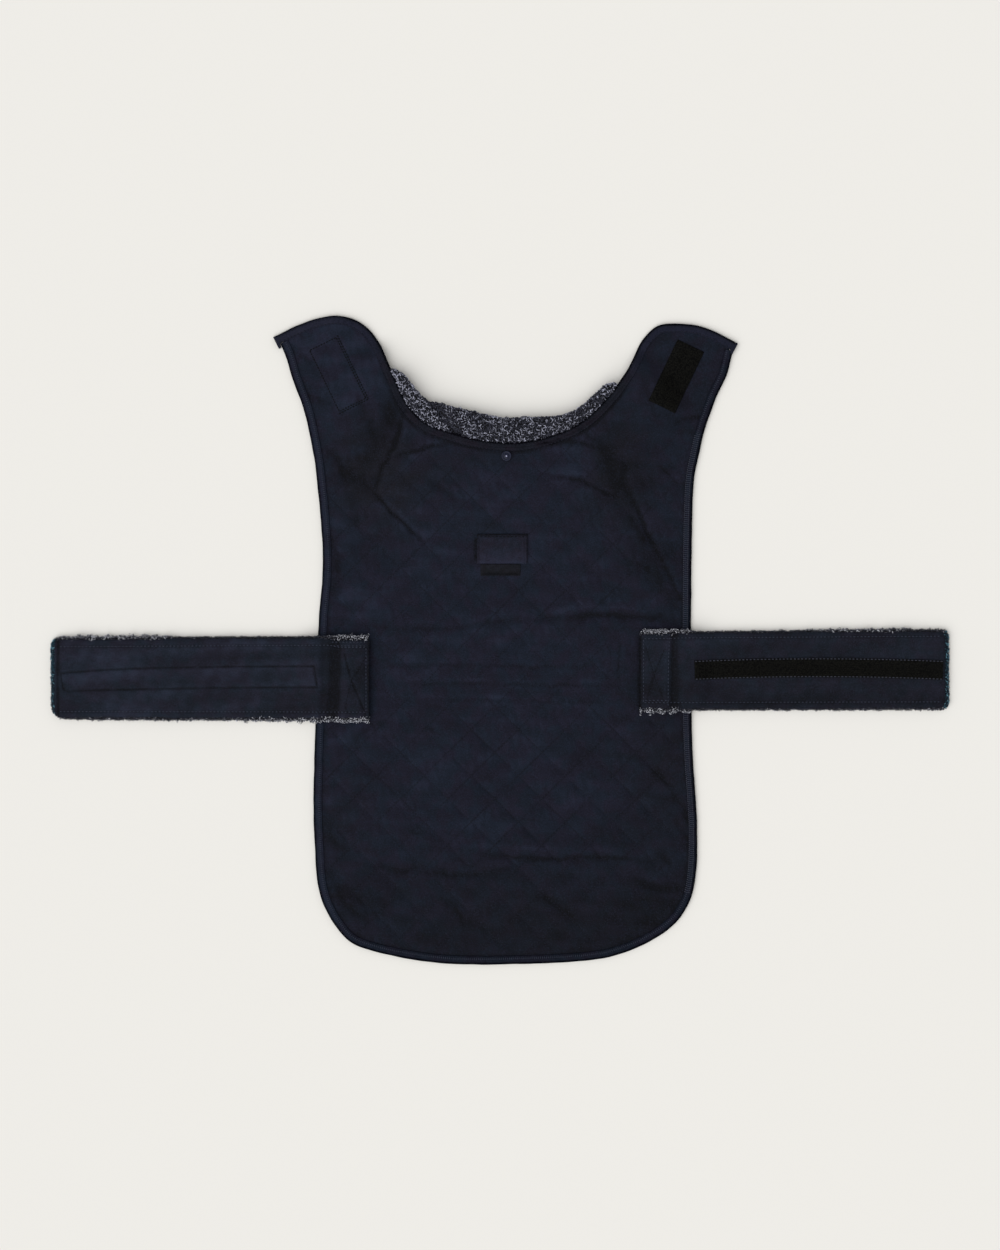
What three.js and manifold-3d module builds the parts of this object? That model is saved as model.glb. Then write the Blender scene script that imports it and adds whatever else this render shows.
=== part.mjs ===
// Dog winter coat laid flat with its lining up. Millimetres, +X right, +Y towards the neck, +Z up.
// The origin is on the surface that the coat lies on, below the middle of its outline.
import * as THREE from "three";
import { mergeVertices } from "three/addons/utils/BufferGeometryUtils.js";
import Module from "manifold-3d";

const wasm = await Module();
wasm.setup();

// Cloth thicknesses
const seamGap = 0.3;
const restGap = 0.5;
const slopeGap = 0.8;
const stitchedThickness = 2.2;
const puffRise = 2.2;
const bindingWidth = 7.5;
const bindingThickness = 3.4;
const facingThickness = 1.4;
const pileThickness = 4.6;
const tapeThickness = 1.2;
const tapeRoom = 0.15;

// Diamond quilting: squares on point, about 28 mm between the seams
const quiltCentre = { x: 15.7, y: 120.7 };
const quiltHalfWidth = 20.06;
const quiltHalfHeight = 19.66;
const quiltSteps = [0, 0.3, 0.7];
const quiltCells = { aFrom: -14, aTo: 9, bFrom: -10, bTo: 13 };
const quiltFadeAtEdge = 12;
const plainMargin = 10;

// Collar: a strip of curly pile, folded over at the neckline and lying under the panel
const fallThickness = 6.2;
const rollHeight = 13.4;
const collarLift = fallThickness + restGap;
const liftMargin = 6;
const liftRamp = 42;
const endSqueeze = 2.2;

// Belly straps: they lie on the panel, then step down over its side to the surface
const strapOnPanel = stitchedThickness + puffRise + seamGap;
const strapStep = 20;
const strapPileMargin = 3.8;

// Outline of the coat, its binding included
const topEdgeRows = [
  { x: -190, y: 258.5 },
  { x: -172.6, y: 267 },
  { x: -153, y: 273.7 },
  { x: -136, y: 275.4 },
  { x: -119, y: 269.9 },
  { x: -105.4, y: 256.7 },
  { x: -91, y: 227 },
  { x: -77.4, y: 199 },
  { x: -62.9, y: 184.5 },
  { x: -40.8, y: 176 },
  { x: -12.8, y: 169.2 },
  { x: 16.2, y: 167.8 },
  { x: 43.4, y: 173.4 },
  { x: 68, y: 184.5 },
  { x: 89.3, y: 204 },
  { x: 107, y: 227.8 },
  { x: 122.4, y: 256.7 },
  { x: 134.3, y: 267 },
  { x: 148.8, y: 268.6 },
  { x: 168.3, y: 267 },
  { x: 184, y: 261.4 },
  { x: 199.5, y: 253.2 },
];
const sideEdgeRows = [
  { x: -190, y: 258.5 },
  { x: -182.8, y: 243 },
  { x: -176, y: 221 },
  { x: -166.6, y: 195.5 },
  { x: -159.8, y: 165 },
  { x: -155.6, y: 136 },
  { x: -150.5, y: 68 },
  { x: -153.9, y: 17 },
  { x: -157.3, y: -85 },
  { x: -158, y: -161.5 },
  { x: -151.3, y: -221 },
  { x: -129.2, y: -255 },
  { x: -110.5, y: -263.5 },
  { x: -70.6, y: -272 },
  { x: -37.4, y: -275.4 },
  { x: 11, y: -275.4 },
  { x: 77.4, y: -272 },
  { x: 98.6, y: -267.8 },
  { x: 129.2, y: -255 },
  { x: 151.3, y: -238 },
  { x: 161.5, y: -221 },
  { x: 165.8, y: -204 },
  { x: 167.5, y: -161.5 },
  { x: 163.2, y: -85 },
  { x: 162.4, y: 34 },
  { x: 164.9, y: 136 },
  { x: 168.3, y: 154.7 },
  { x: 174.3, y: 180 },
  { x: 183.6, y: 205.7 },
  { x: 193, y: 226 },
  { x: 199.5, y: 253.2 },
];
const topEdgeSteps = 62;
const sideEdgeSteps = 96;
const bindingEndReach = 3;
const bindingEndWidth = 11;

// Section of a binding: across its width from the outer edge, and up
const bindingSection = [
  { across: 0.08, up: 0 },
  { across: 0, up: 0.35 },
  { across: 0.03, up: 0.75 },
  { across: 0.3, up: 1 },
  { across: 0.75, up: 0.98 },
  { across: 1, up: 0.72 },
  { across: 1, up: 0 },
];
// Room that a binding's end needs in what it meets
const clearSection = [
  { across: -1, up: -4 },
  { across: -1, up: 4 },
  { across: 1, up: 4 },
  { across: 1, up: -4 },
];

// Collar along the neck seam: how far it stands out from the seam, and how far it lies under the panel
const collarRows = [
  { x: -91, stand: 4, fall: 26 },
  { x: -82, stand: 12, fall: 34 },
  { x: -70, stand: 18, fall: 40 },
  { x: -50, stand: 22, fall: 44 },
  { x: -12, stand: 22, fall: 46 },
  { x: 16, stand: 21, fall: 46 },
  { x: 43, stand: 17, fall: 44 },
  { x: 68, stand: 12, fall: 40 },
  { x: 89, stand: 8.5, fall: 34 },
  { x: 103, stand: 4, fall: 26 },
];
// Section of the collar: a share of the stand outwards or of the fall inwards, and up
const collarSection = [
  { stand: 0.86, up: 0 },
  { stand: 0.97, up: 2 },
  { stand: 1, up: 5.4 },
  { stand: 1, up: 8.6 },
  { stand: 0.93, up: 11.6 },
  { stand: 0.7, up: rollHeight },
  { stand: 0.4, up: rollHeight },
  { stand: 0.14, up: 12 },
  { stand: 0, up: 10 },
  { stand: 0, up: fallThickness },
  { fall: 0.5, up: fallThickness },
  { fall: 0.93, up: fallThickness },
  { fall: 1, up: 3.6 },
  { fall: 0.97, up: 0 },
  { fall: 0.45, up: 0 },
];

// The largest folds of the panel: paths with their depth below the quilting, or height where negative
const foldRows = [
  { depth: 1, width: 11, path: [[-45, 160], [-77, 156]] },
  { depth: 1.2, width: 11, path: [[-79, 186], [-88, 167], [-99, 150], [-106, 128]] },
  { depth: -1.2, width: 12, path: [[-103, 122], [-86, 104], [-69, 86]] },
  { depth: 1, width: 11, path: [[43, 142], [68, 136], [89, 127], [105, 122]] },
  { depth: -1, width: 12, path: [[107, 136], [120, 104], [135, 73], [146, 54]] },
  { depth: 0.9, width: 11, path: [[-98, 7], [-32, 10], [48, 19], [113, 19], [150, 15]] },
  { depth: -0.8, width: 13, path: [[1, -178], [60, -182], [123, -185]] },
  { depth: -0.8, width: 12, path: [[-106, -194], [-37, -189]] },
];

// What lies flat on the panel or under it: centre, size and turn in degrees
const hookPatch = { x: 149.6, y: 223.7, width: 25, length: 58, turn: -25.5 };
const loopPatch = { x: -137.7, y: 225.3, width: 25, length: 58, turn: 26 };
const leashFlap = { x: 2, y: 77.4, width: 43, length: 25, turn: 0, thickness: 1.6 };
const leashTape = { x: 0.5, y: 59.4, width: 34, length: 9.6, turn: 0 };
const neckStud = { x: 5.5, y: 155.9, width: 7.2, length: 7.2, turn: 0, rise: 1.6 };
const plainPatches = [hookPatch, loopPatch, leashFlap, leashTape, neckStud];

// Straps: the sewn end and the free end of the lining, with the two long edges at each
const leftStrap = {
  sewn: { x: -110.9, top: 1.7, bottom: -66.3 },
  free: { x: -377.8, top: -0.9, bottom: -67.2 },
  freeMargin: 4.6,
  panelEdge: -157,
};
const rightStrap = {
  sewn: { x: 119, top: 5.5, bottom: -56 },
  free: { x: 377.4, top: 7.2, bottom: -58.7 },
  freeMargin: 5,
  panelEdge: 163.5,
};
const stepParts = 8;
const lyingParts = 6;
const bellyTape = { width: 16.4, from: 164.6, to: 375.5, middle: 270, y: -25.6, bow: 2.2 };
const bellyLoop = { width: 17, from: -156.4, to: -373.5, middle: -265, y: -33, bow: -1.8 };

const smooth = (from, to, value) => THREE.MathUtils.smoothstep(value, from, to);

// A closed mesh from vertices and triangles, turned to face outwards.
function closedGeometry(vertices, triangles) {
  let volume = 0;
  for (const [a, b, c] of triangles) {
    const [ax, ay, az] = vertices[a];
    const [bx, by, bz] = vertices[b];
    const [cx, cy, cz] = vertices[c];
    volume += ax * (by * cz - bz * cy) + ay * (bz * cx - bx * cz) + az * (bx * cy - by * cx);
  }
  const order = volume < 0 ? triangles.map(([a, b, c]) => [a, c, b]) : triangles;
  const geometry = new THREE.BufferGeometry();
  geometry.setAttribute("position", new THREE.Float32BufferAttribute(vertices.flat(), 3));
  geometry.setIndex(order.flat());
  return geometry;
}

// A section carried along stations: place(station, corner) gives each vertex, cap the section's flat shape.
function sweep(stationCount, cornerCount, place, cap) {
  const vertices = [];
  const triangles = [];
  for (let i = 0; i < stationCount; i++)
    for (let j = 0; j < cornerCount; j++) vertices.push(place(i, j));
  for (let i = 0; i + 1 < stationCount; i++)
    for (let j = 0; j < cornerCount; j++) {
      const a = i * cornerCount + j;
      const b = i * cornerCount + ((j + 1) % cornerCount);
      triangles.push([a, b, a + cornerCount]);
      triangles.push([b, b + cornerCount, a + cornerCount]);
    }
  const first = THREE.ShapeUtils.triangulateShape(cap(0), []);
  const last = THREE.ShapeUtils.triangulateShape(cap(stationCount - 1), []);
  const lastStart = (stationCount - 1) * cornerCount;
  const facesUp = THREE.ShapeUtils.area(cap(0)) > 0;
  for (const [a, b, c] of first) triangles.push(facesUp ? [a, c, b] : [a, b, c]);
  for (const [a, b, c] of last) {
    const [p, q, r] = [a + lastStart, b + lastStart, c + lastStart];
    triangles.push(facesUp ? [p, q, r] : [p, r, q]);
  }
  return closedGeometry(vertices, triangles);
}

// A block between an upper and a lower surface over a grid of columns and rows.
function block(columns, rows, over, upper, lower) {
  const vertices = [];
  const triangles = [];
  for (const height of [upper, lower])
    for (let i = 0; i < columns; i++)
      for (let j = 0; j < rows; j++) {
        const [x, y] = over(i, j);
        vertices.push([x, y, height(x, y, i, j)]);
      }
  const under = columns * rows;
  const at = (i, j) => i * rows + j;
  for (let i = 0; i + 1 < columns; i++)
    for (let j = 0; j + 1 < rows; j++) {
      const [a, b, c, d] = [at(i, j), at(i + 1, j), at(i + 1, j + 1), at(i, j + 1)];
      triangles.push([a, b, c], [a, c, d]);
      triangles.push([under + a, under + c, under + b], [under + a, under + d, under + c]);
    }
  const rim = [];
  for (let i = 0; i + 1 < columns; i++) rim.push(at(i, 0));
  for (let j = 0; j + 1 < rows; j++) rim.push(at(columns - 1, j));
  for (let i = columns - 1; i > 0; i--) rim.push(at(i, rows - 1));
  for (let j = rows - 1; j > 0; j--) rim.push(at(0, j));
  rim.forEach((a, k) => {
    const b = rim[(k + 1) % rim.length];
    triangles.push([a, under + a, b], [b, under + a, under + b]);
  });
  return closedGeometry(vertices, triangles);
}

function toSolid(geometry) {
  const bare = geometry.clone();
  bare.deleteAttribute("normal");
  bare.deleteAttribute("uv");
  const merged = mergeVertices(bare, 1e-4);
  const vertProperties = merged.attributes.position.array;
  const triVerts = new Uint32Array(merged.index.array);
  return new wasm.Manifold(new wasm.Mesh({ numProp: 3, vertProperties, triVerts }));
}

function toGeometry(solid) {
  const { vertProperties, triVerts } = solid.getMesh();
  const geometry = new THREE.BufferGeometry();
  geometry.setAttribute("position", new THREE.BufferAttribute(vertProperties, 3));
  geometry.setIndex(new THREE.BufferAttribute(triVerts, 1));
  return geometry;
}

// Stations along an edge, each with the direction of travel and the way into the cloth.
function stationsAlong(rows, steps, inwardTurn) {
  const curve = new THREE.CatmullRomCurve3(rows.map(({ x, y }) => new THREE.Vector3(x, y, 0)));
  const points = curve.getSpacedPoints(steps);
  return points.map((point, i) => {
    const before = points[Math.max(i - 1, 0)];
    const after = points[Math.min(i + 1, steps)];
    const along = after.clone().sub(before).normalize();
    const inward = { x: -inwardTurn * along.y, y: inwardTurn * along.x };
    return { x: point.x, y: point.y, along: { x: along.x, y: along.y }, inward };
  });
}

const topEdge = stationsAlong(topEdgeRows, topEdgeSteps, -1);
const sideEdge = stationsAlong(sideEdgeRows, sideEdgeSteps, 1);
const neckSeam = topEdge.filter(({ x, y }) => x > -92 && x < 103.5 && y < 232);

// Value of a named column at x, from rows sorted by x.
function columnAt(rows, column, x) {
  const last = rows.length - 1;
  const k = rows.findIndex((row) => row.x > x);
  if (k === 0) return rows[0][column];
  if (k < 0) return rows[last][column];
  const share = (x - rows[k - 1].x) / (rows[k].x - rows[k - 1].x);
  return THREE.MathUtils.lerp(rows[k - 1][column], rows[k][column], share);
}

// Nearest point of a path to (x, y): its distance and place.
function nearest(path, x, y) {
  let best = { distance: Infinity };
  for (let i = 0; i + 1 < path.length; i++) {
    const [a, b] = [path[i], path[i + 1]];
    const [dx, dy] = [b.x - a.x, b.y - a.y];
    const raw = ((x - a.x) * dx + (y - a.y) * dy) / (dx * dx + dy * dy);
    const share = THREE.MathUtils.clamp(raw, 0, 1);
    const distance = Math.hypot(x - a.x - share * dx, y - a.y - share * dy);
    if (distance < best.distance) best = { distance, x: a.x + share * dx, y: a.y + share * dy };
  }
  return best;
}

// How far the collar holds the panel off the surface.
function liftAt(x, y) {
  const near = nearest(neckSeam, x, y);
  let distance = near.distance;
  for (const [end, outward] of [[neckSeam[0], -1], [neckSeam.at(-1), 1]]) {
    const beyond = outward * ((x - end.x) * end.along.x + (y - end.y) * end.along.y);
    const atEnd = near.x === end.x && near.y === end.y;
    if (atEnd && beyond > 0) distance = Math.hypot(distance, endSqueeze * beyond);
  }
  const held = columnAt(collarRows, "fall", near.x) + liftMargin;
  return collarLift * (1 - smooth(held, held + liftRamp, distance));
}

// Place within a patch as shares of its half width and half length.
function withinPatch(patch, x, y) {
  const turn = THREE.MathUtils.degToRad(patch.turn);
  const [dx, dy] = [x - patch.x, y - patch.y];
  const across = dx * Math.cos(turn) + dy * Math.sin(turn);
  const along = -dx * Math.sin(turn) + dy * Math.cos(turn);
  return [across / (patch.width / 2), along / (patch.length / 2)];
}

// Share of the quilting left at (x, y): none on a patch or close round it.
function quiltShareAt(x, y) {
  const clear = plainPatches.map((patch) => {
    const [across, along] = withinPatch(patch, x, y);
    const beside = ((Math.abs(across) - 1) * patch.width) / 2;
    const past = ((Math.abs(along) - 1) * patch.length) / 2;
    return Math.max(beside, past);
  });
  return smooth(plainMargin, plainMargin + 6, Math.min(...clear));
}

const outlinePath = [...sideEdge, ...[...topEdge].reverse()];

function puffAt(x, y) {
  const p = (x - quiltCentre.x) / quiltHalfWidth;
  const q = (y - quiltCentre.y) / quiltHalfHeight;
  const ridge = Math.abs(Math.sin((Math.PI * (p + q)) / 2) * Math.sin((Math.PI * (p - q)) / 2));
  const fromEdge = nearest(outlinePath, x, y).distance - bindingWidth;
  const fade = smooth(0, quiltFadeAtEdge, fromEdge);
  return puffRise * Math.sqrt(ridge) * fade * quiltShareAt(x, y);
}

function foldAt(x, y) {
  return foldRows.reduce((sum, { depth, width, path }) => {
    const points = path.map(([px, py]) => ({ x: px, y: py }));
    const { distance } = nearest(points, x, y);
    return sum + depth * (1 - smooth(0, width, distance));
  }, 0);
}

const panelTop = (x, y) => liftAt(x, y) + stitchedThickness + puffAt(x, y) - foldAt(x, y);

// Lattice of the quilting: its lines run along the seams, with more lines inside each square.
function ticks(from, to) {
  const values = [];
  for (let cell = from; cell < to; cell++) for (const step of quiltSteps) values.push(cell + step);
  return [...values, to];
}

const latticeA = ticks(quiltCells.aFrom, quiltCells.aTo);
const latticeB = ticks(quiltCells.bFrom, quiltCells.bTo);

function latticePoint(i, j) {
  const [a, b] = [latticeA[i], latticeB[j]];
  return [quiltCentre.x + quiltHalfWidth * (a + b), quiltCentre.y + quiltHalfHeight * (a - b)];
}

// Height of the panel's facets at (x, y), for what lies on it.
function facetTop(x, y) {
  const p = (x - quiltCentre.x) / quiltHalfWidth;
  const q = (y - quiltCentre.y) / quiltHalfHeight;
  const [a, b] = [(p + q) / 2, (p - q) / 2];
  const i = latticeA.findIndex((tick) => tick > a) - 1;
  const j = latticeB.findIndex((tick) => tick > b) - 1;
  const u = (a - latticeA[i]) / (latticeA[i + 1] - latticeA[i]);
  const v = (b - latticeB[j]) / (latticeB[j + 1] - latticeB[j]);
  const [near, far] = [panelTop(...latticePoint(i, j)), panelTop(...latticePoint(i + 1, j + 1))];
  const side = u > v ? panelTop(...latticePoint(i + 1, j)) : panelTop(...latticePoint(i, j + 1));
  const [small, large] = [Math.min(u, v), Math.max(u, v)];
  return near + (side - near) * (large - small) + (far - near) * small;
}

// Panel outline without its binding: a prism bounded by one inset edge, run on past both of its ends.
function insetPrism(stations, closing) {
  const inset = bindingWidth + seamGap;
  const run = 40;
  const points = stations.map(({ x, y, inward }) => [x + inset * inward.x, y + inset * inward.y]);
  const [start, end] = [stations[0], stations.at(-1)];
  const before = [points[0][0] - run * start.along.x, points[0][1] - run * start.along.y];
  const after = [points.at(-1)[0] + run * end.along.x, points.at(-1)[1] + run * end.along.y];
  const loop = [before, ...points, after, ...closing].map(([x, y]) => new THREE.Vector2(x, y));
  const geometry = new THREE.ExtrudeGeometry(new THREE.Shape(loop), { depth: 60, bevelEnabled: false });
  geometry.translate(0, 0, -20);
  return toSolid(geometry);
}

const withinSides = insetPrism(sideEdge, [[320, 400], [-320, 400]]);
const belowTop = insetPrism(topEdge, [[320, -400], [-320, -400]]);

// A tape or flap over a turned patch, with its two surfaces worked out from what it lies on.
function patchSolid(patch, columns, rows, lower, upper) {
  const turn = THREE.MathUtils.degToRad(patch.turn);
  const over = (i, j) => {
    const across = (i / (columns - 1) - 0.5) * patch.width;
    const along = (j / (rows - 1) - 0.5) * patch.length;
    const x = patch.x + across * Math.cos(turn) - along * Math.sin(turn);
    const y = patch.y + across * Math.sin(turn) + along * Math.cos(turn);
    return [x, y];
  };
  return block(columns, rows, over, upper, lower);
}

function quiltedPanel() {
  const over = (i, j) => latticePoint(i, j);
  const whole = toSolid(block(latticeA.length, latticeB.length, over, panelTop, liftAt));
  const room = { ...loopPatch, width: loopPatch.width + 1, length: loopPatch.length + 1 };
  const recess = patchSolid(room, 2, 2, () => -5, () => tapeThickness + seamGap);
  const cut = whole.intersect(withinSides).intersect(belowTop).subtract(neckBindingRoom());
  return toGeometry(cut.subtract(toSolid(recess)));
}

// A binding along an edge. Its ends may reach past the edge and widen to a square.
function binding(stations, reach, section = bindingSection, spare = 0) {
  const ends = reach > 0 ? [reach + spare, reach / 2 + spare] : [0];
  const past = (station, by) => ({
    ...station,
    x: station.x + by * station.along.x,
    y: station.y + by * station.along.y,
  });
  const row = [
    ...ends.map((by) => past(stations[0], -by)),
    ...stations.slice(1, -1),
    ...[...ends].reverse().map((by) => past(stations.at(-1), by)),
  ];
  const [first, last] = [row[0], row.at(-1)];
  const place = (i, j) => {
    const { x, y, inward } = row[i];
    const fromEnd = Math.min(Math.hypot(x - first.x, y - first.y), Math.hypot(x - last.x, y - last.y));
    const widened = reach > 0 && fromEnd < reach + spare;
    const width = (widened ? bindingEndWidth : bindingWidth) + spare;
    const { across, up } = section[j];
    const [px, py] = [x + across * width * inward.x, y + across * width * inward.y];
    return [px, py, liftAt(px, py) + up * bindingThickness];
  };
  const cap = () => section.map(({ across, up }) => new THREE.Vector2(across, up));
  return sweep(row.length, section.length, place, cap);
}

function neckBindingRoom() {
  return toSolid(binding(topEdge, bindingEndReach, clearSection, seamGap));
}

function sideBinding() {
  return toGeometry(toSolid(binding(sideEdge, 0)).subtract(neckBindingRoom()).intersect(belowTop));
}

function collar() {
  const place = (i, j) => {
    const { x, y, inward } = neckSeam[i];
    const { stand, fall, up } = collarSection[j];
    const standOut = columnAt(collarRows, "stand", x);
    const outwards = fall ? -fall * columnAt(collarRows, "fall", x) : seamGap + stand * standOut;
    return [x - outwards * inward.x, y - outwards * inward.y, up];
  };
  const cap = (i) => {
    const standOut = columnAt(collarRows, "stand", neckSeam[i].x);
    const fallIn = columnAt(collarRows, "fall", neckSeam[i].x);
    return collarSection.map(({ stand, fall, up }) => {
      const outwards = fall ? -fall * fallIn : seamGap + stand * standOut;
      return new THREE.Vector2(outwards, up);
    });
  };
  return sweep(neckSeam.length, collarSection.length, place, cap);
}

// Height of a strap's underside: on the panel at its sewn end, on the surface past the panel's side.
function strapBase(strap, x) {
  const outward = Math.sign(strap.free.x);
  const past = outward * (x - strap.panelEdge);
  return strapOnPanel * (1 - smooth(0, strapStep, past));
}

// One layer of a strap: its margin outside the lining, its base above the strap's, and its thickness.
function strapLayer(strap, margin, endMargin, base, thickness) {
  const outward = Math.sign(strap.free.x);
  const sewnX = strap.sewn.x - outward * (margin > 0 ? margin * 0.6 : 0);
  const freeX = strap.free.x + outward * endMargin;
  const stations = [sewnX];
  for (let k = 0; k <= stepParts; k++) stations.push(strap.panelEdge + (outward * strapStep * k) / stepParts);
  const stepEnd = strap.panelEdge + outward * strapStep;
  for (let k = 1; k <= lyingParts; k++) stations.push(THREE.MathUtils.lerp(stepEnd, freeX, k / lyingParts));
  const edge = Math.min(thickness * 0.45, 1.6);
  const section = (top, bottom) => [
    [top - edge * 0.6, 0],
    [top, edge],
    [top, thickness - edge],
    [top - edge, thickness],
    [(top + bottom) / 2, thickness],
    [bottom + edge, thickness],
    [bottom, thickness - edge],
    [bottom, edge],
    [bottom + edge * 0.6, 0],
  ];
  const sectionAt = (i) => {
    const share = (stations[i] - strap.sewn.x) / (strap.free.x - strap.sewn.x);
    const top = THREE.MathUtils.lerp(strap.sewn.top, strap.free.top, share) + margin;
    const bottom = THREE.MathUtils.lerp(strap.sewn.bottom, strap.free.bottom, share) - margin;
    return section(top, bottom);
  };
  const place = (i, j) => {
    const [y, up] = sectionAt(i)[j];
    return [stations[i], y, strapBase(strap, stations[i]) + base + up];
  };
  const cap = (i) => sectionAt(i).map(([y, up]) => new THREE.Vector2(y, up));
  return sweep(stations.length, 9, place, cap);
}

const strapPile = (strap) => strapLayer(strap, strapPileMargin, strap.freeMargin, 0, pileThickness);
const strapFacing = (strap) => strapLayer(strap, 0, 0, pileThickness + seamGap, facingThickness);

// A long tape on a strap, a little bowed along its length, with columns where the strap's stations are.
function longTape(strap, tape, widen, lower, upper) {
  const outward = Math.sign(tape.to);
  const from = tape.from - widen * outward;
  const columns = [from];
  for (let k = 0; k <= stepParts; k++) {
    const x = strap.panelEdge + (outward * strapStep * k) / stepParts;
    if (outward * (x - from) > 0.5) columns.push(x);
  }
  const stepEnd = columns.at(-1);
  for (let k = 1; k <= lyingParts; k++) columns.push(THREE.MathUtils.lerp(stepEnd, tape.to, k / lyingParts));
  const over = (i, j) => {
    const x = columns[i];
    const reach = (x - tape.middle) / (tape.to - tape.middle);
    const y = tape.y + tape.bow * (1 - reach * reach);
    return [x, y + (j - 0.5) * (tape.width + 2 * widen)];
  };
  return block(columns.length, 2, over, upper, lower);
}

function bellyHookTape() {
  const base = (x) => strapBase(rightStrap, x) + pileThickness + facingThickness + 2 * seamGap + tapeRoom;
  return longTape(rightStrap, bellyTape, 0, base, (x) => base(x) + tapeThickness);
}

function leftStrapPile() {
  const roomFor = { ...bellyLoop, to: bellyLoop.to - 0.6 };
  const roof = (x) => strapBase(leftStrap, x) + tapeThickness + seamGap;
  const room = longTape(leftStrap, roomFor, 0.6, () => -5, roof);
  return toGeometry(toSolid(strapPile(leftStrap)).subtract(toSolid(room)));
}

function bellyLoopTape() {
  const base = (x) => strapBase(leftStrap, x);
  return longTape(leftStrap, bellyLoop, 0, base, (x) => base(x) + tapeThickness);
}

function neckHookTape() {
  const base = (x, y) => facetTop(x, y) + slopeGap;
  return patchSolid(hookPatch, 6, 13, base, (x, y) => base(x, y) + tapeThickness);
}

function neckLoopTape() {
  return patchSolid(loopPatch, 2, 2, () => 0, () => tapeThickness);
}

// The leash slot's flap, a little domed towards its free lower edge.
function leashFlapSolid() {
  const base = (x, y) => facetTop(x, y) + restGap;
  const upper = (x, y) => {
    const [across, along] = withinPatch(leashFlap, x, y);
    const dome = (1 - across ** 4) * (1 - along) * 0.4;
    return base(x, y) + leashFlap.thickness + dome;
  };
  return patchSolid(leashFlap, 9, 7, base, upper);
}

function leashTapeSolid() {
  const base = (x, y) => facetTop(x, y) + restGap;
  return patchSolid(leashTape, 5, 3, base, (x, y) => base(x, y) + tapeThickness * 0.7);
}

function neckStudSolid() {
  const { width, rise } = neckStud;
  const radius = width / 2;
  const profile = [[0, 0], [radius, 0], [radius, 0.6], [radius * 0.7, rise], [radius * 0.3, rise], [0, rise * 0.7]];
  const geometry = new THREE.LatheGeometry(profile.map(([r, z]) => new THREE.Vector2(r, z)), 16);
  geometry.rotateX(Math.PI / 2);
  return geometry;
}

const navyLining = { color: 0x1d212a, roughness: 0.86, metalness: 0 };
const navyBinding = { color: 0x1b1e27, roughness: 0.8, metalness: 0 };
const greyPile = { color: 0x33343e, roughness: 0.97, metalness: 0 };
const blackTape = { color: 0x0e0e0f, roughness: 0.9, metalness: 0 };
const darkTape = { color: 0x17181c, roughness: 0.85, metalness: 0 };
const navyEnamel = { color: 0x2b3550, roughness: 0.4, metalness: 0.3 };

const coat = new THREE.Group();

function addPiece(name, geometry, finish) {
  geometry.computeVertexNormals();
  const mesh = new THREE.Mesh(geometry, new THREE.MeshStandardMaterial(finish));
  mesh.name = name;
  coat.add(mesh);
  return mesh;
}

addPiece("body_panel", quiltedPanel(), navyLining);
addPiece("side_binding", sideBinding(), navyBinding);
addPiece("neck_binding", binding(topEdge, bindingEndReach), navyBinding);
addPiece("collar", collar(), greyPile);
addPiece("strap_left_pile", leftStrapPile(), greyPile);
addPiece("strap_left_lining", strapFacing(leftStrap), navyLining);
addPiece("strap_right_pile", strapPile(rightStrap), greyPile);
addPiece("strap_right_lining", strapFacing(rightStrap), navyLining);
addPiece("belly_hook_tape", bellyHookTape(), blackTape);
addPiece("belly_loop_tape", bellyLoopTape(), darkTape);
addPiece("neck_hook_tape", neckHookTape(), blackTape);
addPiece("neck_loop_tape", neckLoopTape(), darkTape);
addPiece("leash_flap", leashFlapSolid(), navyLining);
addPiece("leash_tape", leashTapeSolid(), darkTape);
const stud = addPiece("neck_stud", neckStudSolid(), navyEnamel);
stud.position.set(neckStud.x, neckStud.y, facetTop(neckStud.x, neckStud.y) + restGap);

export default coat;
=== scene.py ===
import math
import bpy
import numpy as np
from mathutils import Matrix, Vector


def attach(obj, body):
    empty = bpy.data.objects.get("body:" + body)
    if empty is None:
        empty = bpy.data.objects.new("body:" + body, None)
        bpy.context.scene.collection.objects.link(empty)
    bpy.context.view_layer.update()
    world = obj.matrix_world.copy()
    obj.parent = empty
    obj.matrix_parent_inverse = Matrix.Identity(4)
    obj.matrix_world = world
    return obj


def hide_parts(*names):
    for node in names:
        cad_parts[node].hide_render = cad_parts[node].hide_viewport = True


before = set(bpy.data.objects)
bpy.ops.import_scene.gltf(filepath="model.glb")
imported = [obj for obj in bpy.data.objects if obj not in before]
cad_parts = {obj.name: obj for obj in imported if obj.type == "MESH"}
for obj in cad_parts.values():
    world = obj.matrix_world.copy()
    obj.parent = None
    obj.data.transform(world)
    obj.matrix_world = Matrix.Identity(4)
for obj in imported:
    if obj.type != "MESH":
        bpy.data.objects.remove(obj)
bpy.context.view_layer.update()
print("frame loaded,", len(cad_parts), "solids")

# All sizes below are millimetres, turned to metres where a mesh is made.
mm = 0.001
dice = np.random.default_rng(7)

cameraSetup = {"lens": 85, "sensor": 36, "frameHeight": 1.0625, "centreY": 0.01275}


def addCamera(setup):
    data = bpy.data.cameras.new("camera")
    data.lens = setup["lens"]
    data.sensor_width = setup["sensor"]
    camera = bpy.data.objects.new("camera", data)
    bpy.context.collection.objects.link(camera)
    distance = setup["frameHeight"] * setup["lens"] / setup["sensor"]
    camera.location = (0, setup["centreY"], distance)  # straight above, the neck at the top
    bpy.context.scene.camera = camera


addCamera(cameraSetup)

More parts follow.
